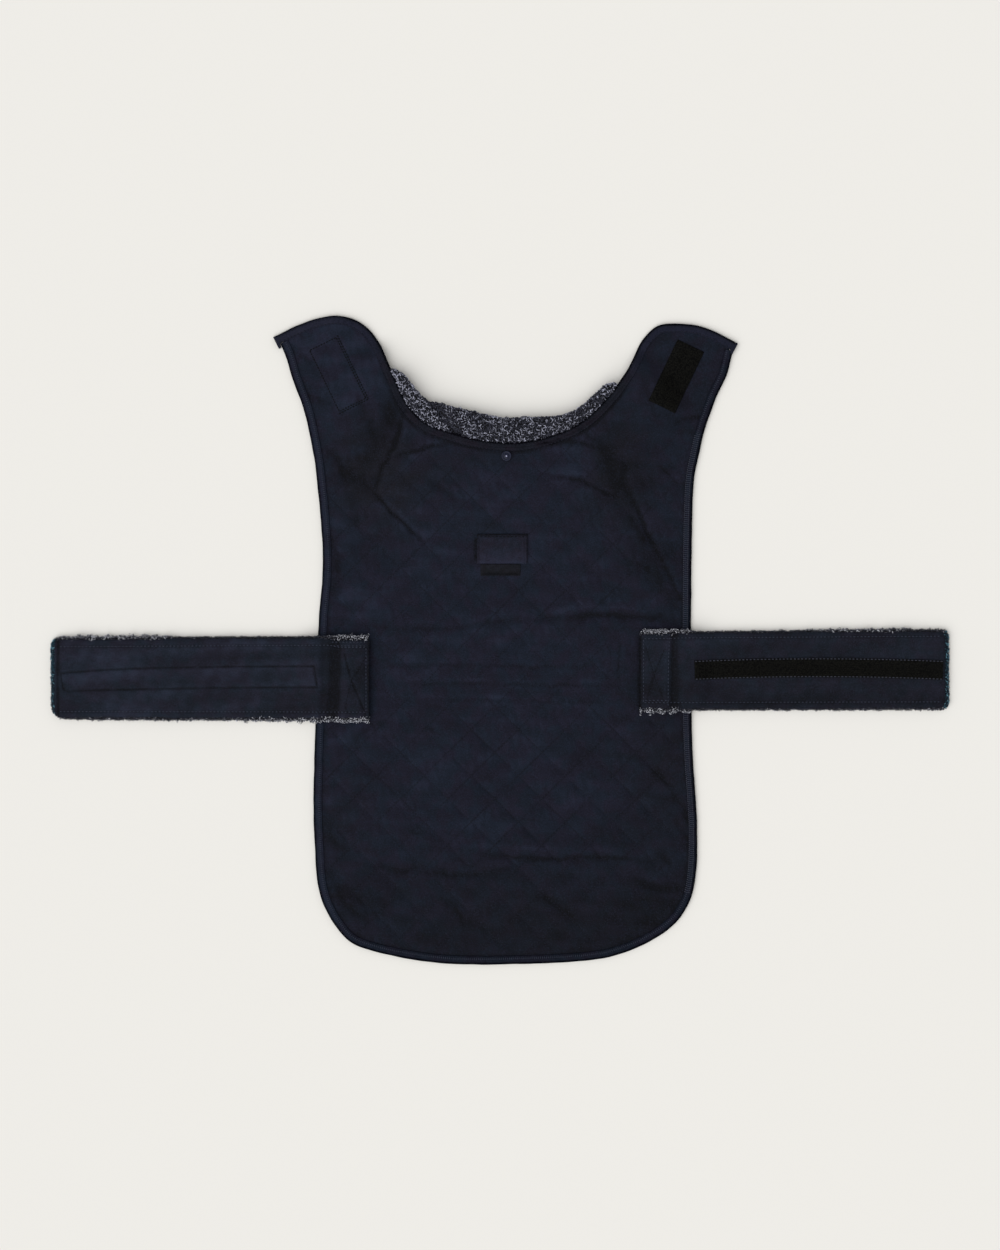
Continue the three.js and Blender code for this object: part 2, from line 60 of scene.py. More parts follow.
# The coat's outline with its binding: the top edge from left to right, the side edge round by the hem.
outline = {
    "topEdge": [
        (-190, 258.5), (-172.6, 267), (-153, 273.7), (-136, 275.4), (-119, 269.9), (-105.4, 256.7),
        (-91, 227), (-77.4, 199), (-62.9, 184.5), (-40.8, 176), (-12.8, 169.2), (16.2, 167.8),
        (43.4, 173.4), (68, 184.5), (89.3, 204), (107, 227.8), (122.4, 256.7), (134.3, 267),
        (148.8, 268.6), (168.3, 267), (184, 261.4), (199.5, 253.2),
    ],
    "sideEdge": [
        (-190, 258.5), (-182.8, 243), (-176, 221), (-166.6, 195.5), (-159.8, 165), (-155.6, 136),
        (-150.5, 68), (-153.9, 17), (-157.3, -85), (-158, -161.5), (-151.3, -221), (-129.2, -255),
        (-110.5, -263.5), (-70.6, -272), (-37.4, -275.4), (11, -275.4), (77.4, -272), (98.6, -267.8),
        (129.2, -255), (151.3, -238), (161.5, -221), (165.8, -204), (167.5, -161.5), (163.2, -85),
        (162.4, 34), (164.9, 136), (168.3, 154.7), (174.3, 180), (183.6, 205.7), (193, 226),
        (199.5, 253.2),
    ],
}

panel = {
    "stitched": 2.2,  # thickness along a quilting seam
    "puff": 1.9,
    "halfWidth": 20.06,  # half diagonals of the quilted squares
    "halfHeight": 19.66,
    "centre": (15.7, 120.7),
    "cellsA": (-14, 9),
    "cellsB": (-10, 13),
    "facesPerCell": 18,
    "fadeAtEdge": 12,
    "tabsFrom": 145,  # the quilting dies out upwards, into the tabs
    "tabsTo": 198,
    "band": (-64, 4),  # pressed flat between the straps
    "bandLeft": 0.35,
    "clearest": (18, -112),  # where the quilting shows best, and how far round
    "clearReach": (150, 85),
    "elsewhere": 0.5,
    "padRise": 0.7,  # over the loop tape sewn under the left tab
    "skin": 1.8,
    "offLift": 0.05,  # its flat underside, above the surface that it lies on
    "undersideKept": 0.56,  # share of the underside's faces kept
}

lift = {"height": 6.7, "margin": 6, "ramp": 42, "squeeze": 2.2}
collarRows = {
    "x": [-91, -82, -70, -50, -12, 16, 43, 68, 89, 103],
    "fall": [26, 34, 40, 44, 46, 46, 44, 40, 34, 26],
}

# Creases of the panel, one a row: its path, its depth at the start, middle and end (less than 0 is a ridge),
# its half width, and how much painted shade darkens it (less than 0 paints a highlight)
creases = [
    ([(-43, 167), (-52, 165), (-76, 159), (-93, 154)], (0.4, 1.1, 0.3), 2.4, 0.7),
    ([(-83, 190), (-88, 168), (-95, 155), (-102, 141), (-107, 128)], (0.5, 1.3, 0.5), 3, 0.75),
    ([(-78, 186), (-83, 168), (-91, 152)], (-0.2, -0.5, -0.2), 4, -0.1),
    ([(-111, 130), (-100, 117), (-87, 104), (-76, 94), (-64, 82)], (0.6, 0.9, 0.3), 2.2, 0.6),
    ([(-97, 120), (-85, 108), (-76, 99)], (-0.2, -0.5, -0.2), 3, -0.14),
    ([(-98, 206), (-93, 194), (-90, 182)], (0.1, 0.4, 0.1), 9, 0.3),
    ([(-138, 146), (-122, 138), (-108, 127)], (0.1, 0.5, 0.2), 10, 0.3),
    ([(-127, 120), (-123, 106), (-121, 92)], (0.1, 0.4, 0.1), 6, 0.24),
    ([(84, 168), (92, 148), (101, 124)], (0.1, 0.5, 0.2), 10, 0.3),
    ([(110, 108), (118, 92), (126, 80)], (0.1, 0.4, 0.1), 6, 0.24),
    ([(109, 70), (120, 64), (130, 56)], (0.1, 0.4, 0.1), 4, 0.22),
    ([(128, 58), (142, 40), (152, 26)], (0.1, 0.4, 0.1), 9, 0.26),
    ([(136, 148), (144, 139), (153, 129)], (0.2, 0.7, 0.3), 2.6, 0.4),
    ([(-62, 136), (-53, 130), (-44, 125), (-35, 117)], (0.3, 1.3, 0.3), 2.8, 0.3),
    ([(30, 165), (51, 168), (67, 167.5), (84, 162)], (0.3, 1.0, 0.4), 2.4, 0.65),
    ([(36, 141), (51, 138), (67, 136), (79, 130), (92, 124), (103, 121)], (0.3, 1.1, 0.5), 2.4, 0.6),
    ([(40, 147), (58, 144), (76, 138)], (-0.1, -0.5, -0.2), 4, -0.12),
    ([(105, 152), (106, 134), (113, 118), (120, 104), (129, 84), (136, 71), (144, 54)],
     (0.4, 1.1, 0.5), 2.5, 0.65),
    ([(110, 150), (113, 134), (125, 106)], (-0.2, -0.6, -0.2), 3.5, -0.14),
    ([(-99, 8), (-74, 9), (-32, 11), (2, 16), (48, 19)], (0.2, 0.8, 1.0), 3.6, 0.25),
    ([(35, 18), (80, 21), (113, 20), (152, 16)], (0.7, 1.9, 0.9), 4.2, 0.5),
    ([(40, 25), (84, 28), (120, 27)], (-0.2, -0.9, -0.3), 5, -0.2),
    ([(-100, -22), (-40, -21), (30, -22.5), (96, -22)], (0.2, 0.5, 0.2), 1.9, 0.3),
    ([(-90, -38), (-20, -37), (60, -38.5), (104, -38)], (0.2, 0.5, 0.3), 1.9, 0.32),
    ([(-86, -52), (-30, -51), (50, -52.5), (100, -52)], (0.2, 0.5, 0.2), 1.9, 0.24),
    ([(101, 4), (100.5, -16), (101, -38)], (0.2, 0.5, 0.2), 1.8, 0.3),
    ([(-8, -175), (50, -178), (118, -179)], (-0.2, -0.8, -0.2), 6, -0.14),
    ([(-14, -182), (40, -186), (80, -184), (132, -188)], (0.3, 0.9, 0.3), 3.2, 0.4),
    ([(-98, -180), (-62, -182), (-30, -180)], (-0.2, -0.7, -0.2), 6, -0.14),
    ([(-106, -188), (-86, -197), (-68, -192)], (0.2, 0.8, 0.3), 4, 0.34),
    ([(116, -204), (136, -211), (156, -211)], (0.3, 1.2, 0.5), 4, 0.55),
    ([(-149, -160), (-140, -172), (-128, -180)], (0.2, 0.7, 0.2), 5, 0.3),
    ([(-140, -212), (-128, -228), (-112, -238)], (0.2, 0.7, 0.3), 4, 0.32),
    ([(-48, -218), (-36, -232), (-26, -246)], (0.2, 0.7, 0.2), 5, 0.26),
    ([(34, -216), (52, -228), (66, -238)], (0.2, 0.7, 0.2), 5, 0.26),
    ([(129, -108), (138, -118), (149, -126)], (0.2, 0.7, 0.3), 4.5, 0.36),
    ([(132, -178), (140, -186), (146, -194)], (0.1, 0.6, 0.2), 5, 0.3),
    ([(-64, -74), (-60, -76), (-56, -77)], (0.1, 0.4, 0.1), 3, 0.4),
    ([(-126, -128), (-116, -134), (-106, -132)], (0.1, 0.5, 0.1), 5, 0.24),
    ([(146, 184), (158, 188), (171, 190)], (0.3, 1.6, 0.5), 3.6, 0.4),
    ([(144, -128), (155, -142), (160, -160)], (0.2, 1.1, 0.4), 3.4, 0.35),
    ([(148, -150), (157, -166), (161, -178)], (0.2, 1.0, 0.3), 3, 0.3),
    ([(-122, 208), (-112, 188), (-106, 170)], (0.2, 1.1, 0.3), 5, 0.25),
    ([(-150, 168), (-136, 150), (-128, 128)], (0.3, 1.2, 0.3), 6, 0.3),
    ([(-146, 92), (-138, 62), (-142, 30)], (0.2, 1.0, 0.2), 6, 0.3),
    ([(120, 226), (126, 206), (133, 188)], (0.3, 1.2, 0.3), 5, 0.25),
    ([(-148, -196), (-132, -214), (-112, -226)], (0.2, 0.9, 0.2), 6, 0.2),
    ([(-86, 208), (-98, 176), (-112, 150), (-128, 122)], (0.2, 0.6, 0.2), 24, 0.24),
    ([(76, 190), (97, 150), (118, 92), (150, 42)], (0.2, 0.6, 0.2), 24, 0.22),
    ([(-171, 243), (-166, 239), (-160, 236)], (0.2, 0.9, 0.2), 3, 0.3),
    ([(-168, 212), (-158, 205), (-147, 203)], (0.2, 0.8, 0.2), 3.5, 0.25),
    ([(144, 56), (150, 42), (156, 30)], (0.4, 0.9, 0.3), 2.6, 0.4),
    ([(58, 192), (70, 176), (86, 168)], (0.2, 1.0, 0.3), 3, 0.35),
    ([(-124, -88), (-112, -74), (-96, -70)], (0.2, 0.9, 0.2), 4, 0.25),
    ([(88, -70), (112, -68), (136, -72)], (0.2, 0.8, 0.2), 4, 0.2),
    ([(-70, -196), (-30, -200), (20, -192)], (0.2, 1.0, 0.3), 4, 0.25),
]

# What lies flat on the panel or under it: centre, width, length and turn in degrees
patches = {
    "neckHook": {"centre": (149.6, 223.7), "size": (25, 58), "turn": -25.5},
    "neckLoop": {"centre": (-137.7, 225.3), "size": (25, 58), "turn": 26},
    "leashFlap": {"centre": (2, 77.4), "size": (43, 25), "turn": 0},
    "leashTape": {"centre": (0.5, 59.4), "size": (34, 9.6), "turn": 0},
    "neckStud": {"centre": (5.5, 155.9), "size": (7.2, 7.2), "turn": 0},
}

binding = {
    "width": 7.5,
    "endReach": 3,
    "endWidth": 11,
    "stitchRows": (1.9, 6.1),  # from the outer edge
    "stitchPitch": 3.1,
    "stepAlong": 1.0,
}

straps = {
    "left": {
        "sewn": {"x": -110.9, "top": 1.9, "bottom": -66.0},
        "free": {"x": -377.8, "top": 0.3, "bottom": -65.6},
        "endMargin": 4.6,
        "panelEdge": -157,
        "topstitch": (6.0, 5.0),  # from the upper and the lower long edge
        "nip": 2.0,  # how far the lining's upper edge is drawn in at the sewn end
        "corners": (8.5, 11.5),  # of the pile's free end, above and below
        "endLight": 0.36,
        "pileLight": (1.5, 1.1),  # along the upper and the lower edge
    },
    "right": {
        "sewn": {"x": 119, "top": 5.5, "bottom": -58},
        "free": {"x": 377.4, "top": 7.2, "bottom": -57.4},
        "endMargin": 5,
        "panelEdge": 163.5,
        "topstitch": (3.9, 5.0),
        "nip": 0.5,
        "corners": (6.5, 7),
        "endLight": 0.54,
        "pileLight": (1.6, 0.8),
    },
}
strap = {
    "onPanel": 4.7,
    "step": 20,
    "pile": 4.6,
    "lining": 1.4,
    "gap": 0.3,
    "pressed": 2.4,  # how much thinner its sewn end is, over so many millimetres
    "pressedFor": 8,
    "corner": 5,  # radius of the lining's corners at the free end
}
hookTape = {"width": 16.4, "from": 164.6, "to": 375.5, "middle": 270, "halfLength": 105.5, "y": -25.6,
            "bow": 2.2, "thickness": 1.2}


def smoothstep(low, high, value):
    share = np.clip((value - low) / (high - low), 0, 1)
    return share * share * (3 - 2 * share)


# 1 in the middle, falling off on both sides
def bell(offset, halfWidth):
    return np.exp(-((offset / halfWidth) ** 2))


# A centripetal curve through hand-placed points, cut into even steps
def smoothPath(points, step):
    given = [np.array(p, float) for p in points]
    given = [2 * given[0] - given[1]] + given + [2 * given[-1] - given[-2]]
    fine = []
    for p0, p1, p2, p3 in zip(given, given[1:], given[2:], given[3:]):
        d0, d1, d2 = [math.sqrt(np.linalg.norm(q - p)) for p, q in ((p0, p1), (p1, p2), (p2, p3))]
        m1 = ((p1 - p0) / d0 - (p2 - p0) / (d0 + d1) + (p2 - p1) / d1) * d1
        m2 = ((p2 - p1) / d1 - (p3 - p1) / (d1 + d2) + (p3 - p2) / d2) * d1
        for t in np.arange(0, 1, 1 / 24):
            a, b = 2 * p1 - 2 * p2 + m1 + m2, -3 * p1 + 3 * p2 - 2 * m1 - m2
            fine.append(a * t**3 + b * t**2 + m1 * t + p1)
    fine = np.array(fine + [given[-2]])
    run = np.concatenate([[0], np.cumsum(np.hypot(*np.diff(fine, axis=0).T))])
    count = max(2, round(run[-1] / step) + 1)
    even = np.linspace(0, run[-1], count)
    return np.column_stack([np.interp(even, run, fine[:, 0]), np.interp(even, run, fine[:, 1])])


# Place and direction at a distance along a path
def alongPath(path, distance):
    run = np.concatenate([[0], np.cumsum(np.hypot(*np.diff(path, axis=0).T))])
    slope = np.gradient(path, axis=0)
    slope /= np.hypot(slope[:, 0], slope[:, 1])[:, None]
    return [np.interp(distance, run, column) for column in (*path.T, *slope.T)]


def pathLength(path):
    return float(np.hypot(*np.diff(path, axis=0).T).sum())


# Distance from many places to a path, with the distance along it and the nearest x and y
def nearestOn(path, x, y):
    best = np.full(x.shape, 1e9)
    along, nearX, nearY = np.zeros(x.shape), np.zeros(x.shape), np.zeros(x.shape)
    start = 0
    for (ax, ay), (bx, by) in zip(path[:-1], path[1:]):
        length = math.hypot(bx - ax, by - ay)
        share = np.clip(((x - ax) * (bx - ax) + (y - ay) * (by - ay)) / length**2, 0, 1)
        px, py = ax + share * (bx - ax), ay + share * (by - ay)
        gap = np.hypot(x - px, y - py)
        closer = gap < best
        best = np.where(closer, gap, best)
        along = np.where(closer, start + share * length, along)
        nearX, nearY = np.where(closer, px, nearX), np.where(closer, py, nearY)
        start += length
    return best, along, nearX, nearY


def insideOutline(x, y):
    inside = np.zeros(x.shape, bool)
    loop = np.concatenate([topEdge, sideEdge[::-1]])
    for (ax, ay), (bx, by) in zip(loop, np.roll(loop, -1, axis=0)):
        if ay == by:
            continue
        crosses = (ay > y) != (by > y)
        inside ^= crosses & (x < ax + (y - ay) * (bx - ax) / (by - ay))
    return inside


# Smooth unevenness of about one wavelength, between -1 and 1
def uneven(x, y, wavelength, seed):
    own = np.random.default_rng(seed)
    total = 0
    for _ in range(7):
        turn, phase, pitch = own.uniform(0, math.tau), own.uniform(0, math.tau), own.uniform(0.7, 1.5)
        across = x * math.cos(turn) + y * math.sin(turn)
        total = total + np.sin(math.tau * pitch / wavelength * across + phase)
    return total / 3.5


topEdge = smoothPath(outline["topEdge"], 2)
sideEdge = smoothPath(outline["sideEdge"], 2)
neckSeam = topEdge[(topEdge[:, 0] > -92) & (topEdge[:, 0] < 103.5) & (topEdge[:, 1] < 232)]


def fromOutline(x, y):
    return np.minimum(nearestOn(topEdge[::3], x, y)[0], nearestOn(sideEdge[::4], x, y)[0])


# How far the collar underneath holds the panel off the surface
def liftAt(x, y):
    x, y = np.asarray(x, float), np.asarray(y, float)
    distance, _, nearX, nearY = nearestOn(neckSeam[::2], x, y)
    for end, before in ((neckSeam[0], neckSeam[1]), (neckSeam[-1], neckSeam[-2])):
        outX, outY = (end - before) / np.hypot(*(end - before))
        beyond = (x - end[0]) * outX + (y - end[1]) * outY
        atEnd = (np.hypot(nearX - end[0], nearY - end[1]) < 2) & (beyond > 0)
        distance = np.where(atEnd, np.hypot(distance, lift["squeeze"] * beyond), distance)
    held = np.interp(nearX, collarRows["x"], collarRows["fall"]) + lift["margin"]
    return lift["height"] * (1 - smoothstep(held, held + lift["ramp"], distance))


# Place within a patch, from its centre, across and along it
def withinPatch(patch, x, y):
    turn = math.radians(patch["turn"])
    dx, dy = x - patch["centre"][0], y - patch["centre"][1]
    return dx * math.cos(turn) + dy * math.sin(turn), -dx * math.sin(turn) + dy * math.cos(turn)


def outsidePatch(patch, x, y):
    across, along = withinPatch(patch, x, y)
    return np.maximum(abs(across) - patch["size"][0] / 2, abs(along) - patch["size"][1] / 2)


# Steps along the two sets of quilting seams, whole on a seam
def quiltCoordinates(x, y):
    p = (x - panel["centre"][0]) / panel["halfWidth"]
    q = (y - panel["centre"][1]) / panel["halfHeight"]
    return (p + q) / 2, (p - q) / 2


def quiltPlace(a, b):
    x = panel["centre"][0] + panel["halfWidth"] * (a + b)
    y = panel["centre"][1] + panel["halfHeight"] * (a - b)
    return x, y


# 1 on the right strap's side and -1 on the left strap's
def outwardOf(side):
    return math.copysign(1, side["free"]["x"])


# 0 where a strap lies on the panel, rising to 1 beside it
def strapShadow(x, y):
    under = np.ones(x.shape)
    for side in straps.values():
        outward = outwardOf(side)
        inward = outward * (side["sewn"]["x"] - x)
        beside = np.maximum(y - side["sewn"]["top"], side["sewn"]["bottom"] - y)
        under = np.minimum(under, smoothstep(-1, 9, np.maximum(inward, beside)))
    return under


# How deep the panel's creases are, and how much painted shade darkens them, with painted highlights beside
# them
def creaseEffect(x, y):
    depth, shade = np.zeros(x.shape), np.zeros(x.shape)
    ripple = 1 + 0.35 * uneven(x, y, 8, 65)
    x, y = x + 0.9 * uneven(x, y, 15, 63), y + 0.9 * uneven(x, y, 15, 64)
    for points, depths, halfWidth, darker in creases:
        path = smoothPath(points, 4)
        distance, along, _, _ = nearestOn(path, x, y)
        share = along / pathLength(path)
        soft = distance / halfWidth * ripple
        raisedBeside = 0.16 * np.exp(-((soft - 1.9) ** 2))
        depth += np.interp(share, [0, 0.5, 1], depths) * (np.exp(-soft**1.5) - raisedBeside)
        strength = np.interp(share, [0, 0.2, 0.8, 1], [0.2, 1, 1, 0.2])
        # painted shade along the crease line, with a thin painted highlight on each side
        line = 1.35 * np.exp(-((soft / 0.55) ** 1.5)) - 0.2 * bell(soft - 1.6, 0.7)
        shade += darker * strength * line
    return depth, shade


# How clearly the quilting shows, from 0 to 1
def quiltShare(x, y):
    inTabs = smoothstep(panel["tabsFrom"], panel["tabsTo"], y)
    low, high = panel["band"]
    inBand = smoothstep(low - 14, low + 6, y) * (1 - smoothstep(high - 6, high + 14, y))
    offX = (x - panel["clearest"][0]) / panel["clearReach"][0]
    offY = (y - panel["clearest"][1]) / panel["clearReach"][1]
    near = np.exp(-(offX**2) - offY**2)
    share = panel["elsewhere"] + (1 - panel["elsewhere"]) * near
    share = share * (1 - inTabs) * (1 - (1 - panel["bandLeft"]) * inBand)
    return np.clip(share * (0.85 + 0.3 * uneven(x, y, 150, 17)), 0, 1)


# Height of the quilted lining above the surface
def panelTop(x, y):
    x, y = np.asarray(x, float), np.asarray(y, float)
    a, b = quiltCoordinates(x, y)
    seamA, seamB = abs(a - np.rint(a)) * 2, abs(b - np.rint(b)) * 2
    dome = (1 - (1 - seamA) ** 3.4) * (1 - (1 - seamB) ** 3.4)
    loft = 0.85 + 0.25 * uneven(x, y, 90, 3)
    fromEdge = fromOutline(x, y) - binding["width"]
    fade = smoothstep(0, panel["fadeAtEdge"], fromEdge) * strapShadow(x, y) * quiltShare(x, y)
    for name, patch in patches.items():
        if name != "neckLoop":
            fade = fade * smoothstep(0.5, 7, outsidePatch(patch, x, y))
    height = liftAt(x, y) + panel["stitched"] + panel["puff"] * loft * dome * fade
    wrinkle = 0.14 * uneven(x, y, 16, 11) + 0.1 * uneven(x, y, 6.5, 12) * dome
    slack = 0.5 * uneven(x, y, 75, 21) + 0.25 * uneven(x, y, 34, 22)
    calm = smoothstep(0, 8, fromEdge) * (0.3 + 0.7 * strapShadow(x, y))
    for name in ("neckHook", "leashFlap"):
        calm = calm * smoothstep(-2, 6, outsidePatch(patches[name], x, y))
    pad = panel["padRise"] * (1 - smoothstep(-2.4, 0.4, outsidePatch(patches["neckLoop"], x, y)))
    return height + pad + (wrinkle + slack * 0.55 - creaseEffect(x, y)[0]) * calm


# How the brushed nap looks with painted light and shade: 0.5 as woven, less where painted shade darkens it,
# more where painted light makes it paler
def panelNapAndShade(x, y):
    # painted light and shade across the panel: darker to the right and towards the hem, paler on the
    # upper-left tab
    toRight = smoothstep(20, 165, x) * 0.12 + smoothstep(-130, -165, x) * 0.04
    toHem = 0.22 * smoothstep(-120, -262, y)
    tabs = 0.1 * smoothstep(190, 240, y) * smoothstep(40, -90, x)
    clouds = 0.06 * uneven(x * 0.6, y, 62, 83) + 0.08 * uneven(x * 0.7, y, 20, 84)
    # finer random tone of the nap, darker where painted shade tints the lining
    clouds = clouds + 0.05 * uneven(x, y, 9, 85) - 0.14 * panelShadeTint(x, y)
    # painted shade: dark lines along the neck tape, beside the right strap's sewn end, beside the flap and
    # the side binding, and along the creases
    fromTape = nearestOn(topEdge[::2], x, y)[0] - binding["width"]
    atNeck = smoothstep(-104, -90, x) * smoothstep(114, 100, x)
    pressed = 0.5 * bell(fromTape - 0.8, 1.2) * atNeck
    right = straps["right"]["sewn"]
    besideStrap = (y < right["top"] + 2) & (y > right["bottom"] - 3)
    pressed = pressed + 0.42 * bell(right["x"] - x, 1.8) * besideStrap
    flapX, flapY = patches["leashFlap"]["centre"]
    besideFlap = smoothstep(-12.5, -9, y - flapY) * smoothstep(10.5, 8, y - flapY)
    besideFlap = besideFlap * (0.8 + 0.4 * uneven(x, y, 4, 76))
    pressed = pressed + 0.6 * besideFlap * np.exp(-(((x - flapX + 22.4) / 1.9) ** 4))
    fromBound = nearestOn(sideEdge[::3], x, y)[0] - binding["width"]
    pressed = pressed + 0.12 * bell(fromBound - 0.8, 1.1) + 0.62 * creaseEffect(x, y)[1]
    return np.clip(0.47 - toRight - toHem + tabs + clouds - pressed, 0, 1)


# Where painted shade makes the lining warmer, greyer and darker: centre, reach and strength
shadeTintPatches = [((-104, 142), (30, 42), 0.85), ((100, 145), (24, 40), 0.6), ((-40, 150), (40, 22), 0.2),
               ((40, -236), (90, 26), 0.3), ((-130, -150), (26, 40), 0.2), ((140, -110), (26, 60), 0.3)]


def panelShadeTint(x, y):
    warmer = np.zeros(x.shape)
    for (centreX, centreY), (reachX, reachY), strength in shadeTintPatches:
        warmer += strength * np.exp(-(((x - centreX) / reachX) ** 2) - ((y - centreY) / reachY) ** 2)
    return np.clip(warmer * (1 + 0.5 * uneven(x, y, 24, 67)), 0, 0.7)


seamShade = {"most": 0.62, "halfWidth": 0.55}


# How dark the quilting seams look, as a dark thread line with painted shade in the groove: each set of lines
# fades in and out by itself
def quiltSeamShade(x, y):
    pitch = math.hypot(panel["halfWidth"], panel["halfHeight"])
    darkest = np.zeros(x.shape)
    for steps, seed, least in zip(quiltCoordinates(x, y), (87, 88), (0.35, 0.75)):
        line = bell(abs(steps - np.rint(steps)) * pitch, seamShade["halfWidth"])
        shown = np.clip(least + 0.6 * uneven(x, y, 75, seed), 0, 1)
        darkest = np.maximum(darkest, line * shown)
    return seamShade["most"] * darkest * quiltShare(x, y) ** 0.7


def deselectAll():
    bpy.ops.object.select_all(action="DESELECT")


def selectOnly(piece):
    deselectAll()
    piece.select_set(True)
    bpy.context.view_layer.objects.active = piece


def editSelected(piece, steps):
    selectOnly(piece)
    bpy.ops.object.mode_set(mode="EDIT")
    steps()
    bpy.ops.object.mode_set(mode="OBJECT")


# Selects vertices by a mask, then runs edit-mode steps
def editWhere(piece, mask, steps):
    polygons = piece.data.polygons
    polygons.foreach_set("select", np.zeros(len(polygons), bool))
    piece.data.edges.foreach_set("select", np.zeros(len(piece.data.edges), bool))
    piece.data.vertices.foreach_set("select", mask)
    editSelected(piece, steps)


def selectAllAndFlip():
    bpy.ops.mesh.select_all(action="SELECT")
    bpy.ops.mesh.flip_normals()


def setPlaces(piece, places):
    piece.data.vertices.foreach_set("co", (np.asarray(places) * mm).ravel())
    piece.data.update()


def getPlaces(piece):
    places = np.empty(len(piece.data.vertices) * 3)
    piece.data.vertices.foreach_get("co", places)
    return places.reshape(-1, 3) / mm


# A grid laid out by a function of its two shares, each from 0 to 1
def gridPiece(name, columns, rows, place):
    deselectAll()
    bpy.ops.mesh.primitive_grid_add(x_subdivisions=columns, y_subdivisions=rows, size=1)
    piece = bpy.context.object
    piece.name = piece.data.name = name
    shares = getPlaces(piece) * mm + 0.5
    setPlaces(piece, np.column_stack(place(shares[:, 0], shares[:, 1])))
    return piece


# Welds a rolled-up grid along its meeting edges, closes its ends and turns its faces outwards
def weldAndClose(piece):
    def steps():
        bpy.ops.mesh.select_all(action="SELECT")
        bpy.ops.mesh.remove_doubles(threshold=0.02 * mm)
        bpy.ops.mesh.select_all(action="DESELECT")
        bpy.ops.mesh.select_mode(type="EDGE")
        bpy.ops.mesh.select_non_manifold(extend=False)
        bpy.ops.mesh.fill_holes(sides=0)
        bpy.ops.mesh.select_all(action="SELECT")
        bpy.ops.mesh.normals_make_consistent(inside=False)

    editSelected(piece, steps)


def applyModifier(piece, kind, **settings):
    modifier = piece.modifiers.new(kind.lower(), kind)
    for key, value in settings.items():
        setattr(modifier, key, value)
    selectOnly(piece)
    bpy.ops.object.modifier_apply(modifier=modifier.name)


# Gives a thin sheet its thickness, downwards
def thicken(piece, thickness):
    applyModifier(piece, "SOLIDIFY", thickness=thickness * mm, offset=-1)


def smoothShade(piece, degrees=50):
    selectOnly(piece)
    bpy.ops.object.shade_smooth_by_angle(angle=math.radians(degrees))


def pointAttribute(piece, name, values):
    layer = piece.data.attributes.new(name, "FLOAT", "POINT")
    layer.data.foreach_set("value", np.asarray(values, float).ravel())


# Copies of one small template, each with its own place, directions and size, joined into one mesh
def scatter(name, template, places, sides, aheads, ups, sizes, shades):
    base = getPlaces(template)
    faces = np.array([list(polygon.vertices) for polygon in template.data.polygons])
    count, each = len(places), len(base)
    axes = np.stack([aheads, sides, ups], axis=1)
    moved = np.einsum("vk,nkc->nvc", base, axes) * np.asarray(sizes)[:, None, None] + places[:, None, :]
    allFaces = (faces[None] + each * np.arange(count)[:, None, None]).reshape(-1, faces.shape[1]).tolist()
    mesh = bpy.data.meshes.new(name)
    mesh.from_pydata((moved.reshape(-1, 3) * mm).tolist(), [], allFaces)
    piece = bpy.data.objects.new(name, mesh)
    bpy.context.collection.objects.link(piece)
    reach = base[:, 2] - base[:, 2].min()
    reach = reach / max(reach.max(), 1e-6)
    pointAttribute(piece, "tip", np.tile(reach, count))
    pointAttribute(piece, "shade", np.repeat(shades, each))
    mesh.shade_smooth()
    return piece


def unit(vectors):
    return vectors / np.maximum(np.linalg.norm(vectors, axis=-1, keepdims=True), 1e-9)


# Colours are sRGB hex values, turned to linear here
def linear(code):
    channels = [int(code[i:i + 2], 16) / 255 for i in (1, 3, 5)]
    return [*(c / 12.92 if c <= 0.04045 else ((c + 0.055) / 1.055) ** 2.4 for c in channels), 1]


# Sets a node's sockets to values, or links them to the outputs of other nodes
def fillSockets(node, sockets):
    for key, value in sockets.items():
        if isinstance(value, bpy.types.NodeSocket):
            node.id_data.links.new(value, node.inputs[key])
        else:
            node.inputs[key].default_value = value


def addNode(material, kind, sockets, **settings):
    node = material.node_tree.nodes.new(kind)
    for key, value in settings.items():
        setattr(node, key, value)
    fillSockets(node, sockets)
    return node


def newMaterial(name):
    material = bpy.data.materials.new(name)
    material.use_nodes = True
    return material, material.node_tree.nodes["Principled BSDF"]


def placeOn(material):
    return addNode(material, "ShaderNodeTexCoord", {}).outputs["Object"]


# A measure that the mesh holds for each of its points
def painted(material, name):
    return addNode(material, "ShaderNodeAttribute", {}, attribute_name=name).outputs["Fac"]


# Noise in patches of about so many millimetres
def noise(material, place, size, detail, roughness=0.5, distortion=0):
    sockets = {"Vector": place, "Scale": 1 / (size * mm), "Detail": detail, "Roughness": roughness,
               "Distortion": distortion}
    return addNode(material, "ShaderNodeTexNoise", sockets).outputs["Fac"]


def mixColours(material, share, first, second):
    return addNode(material, "ShaderNodeMix", {0: share, 6: first, 7: second}, data_type="RGBA").outputs[2]


def mapRange(material, source, low, high, toLow, toHigh):
    sockets = {"Value": source, "From Min": low, "From Max": high, "To Min": toLow, "To Max": toHigh}
    return addNode(material, "ShaderNodeMapRange", sockets).outputs["Result"]


def calculate(material, operation, first, second=0):
    return addNode(material, "ShaderNodeMath", {0: first, 1: second}, operation=operation).outputs[0]


# Fine relief so many millimetres deep, added to the relief under it
def relief(material, height, strength, depth, under=None, invert=False):
    sockets = {"Height": height, "Strength": strength, "Distance": depth * mm}
    if under is not None:
        sockets["Normal"] = under
    return addNode(material, "ShaderNodeBump", sockets, invert=invert).outputs["Normal"]


# pressed and raised: how far painted shade and painted light go towards the dark and the pale colour
twill = {"ribPitch": 0.9, "ribTurn": 63, "brushed": (0.35, 1, 1), "sheen": 0.05, "specular": 0.08,
         "tinted": 0.46, "crinkleWidth": 0.02, "crinkled": 0.3, "pressed": 0.88, "raised": 0.9,
         "grain": 0.4, "grainPaler": 0.28}
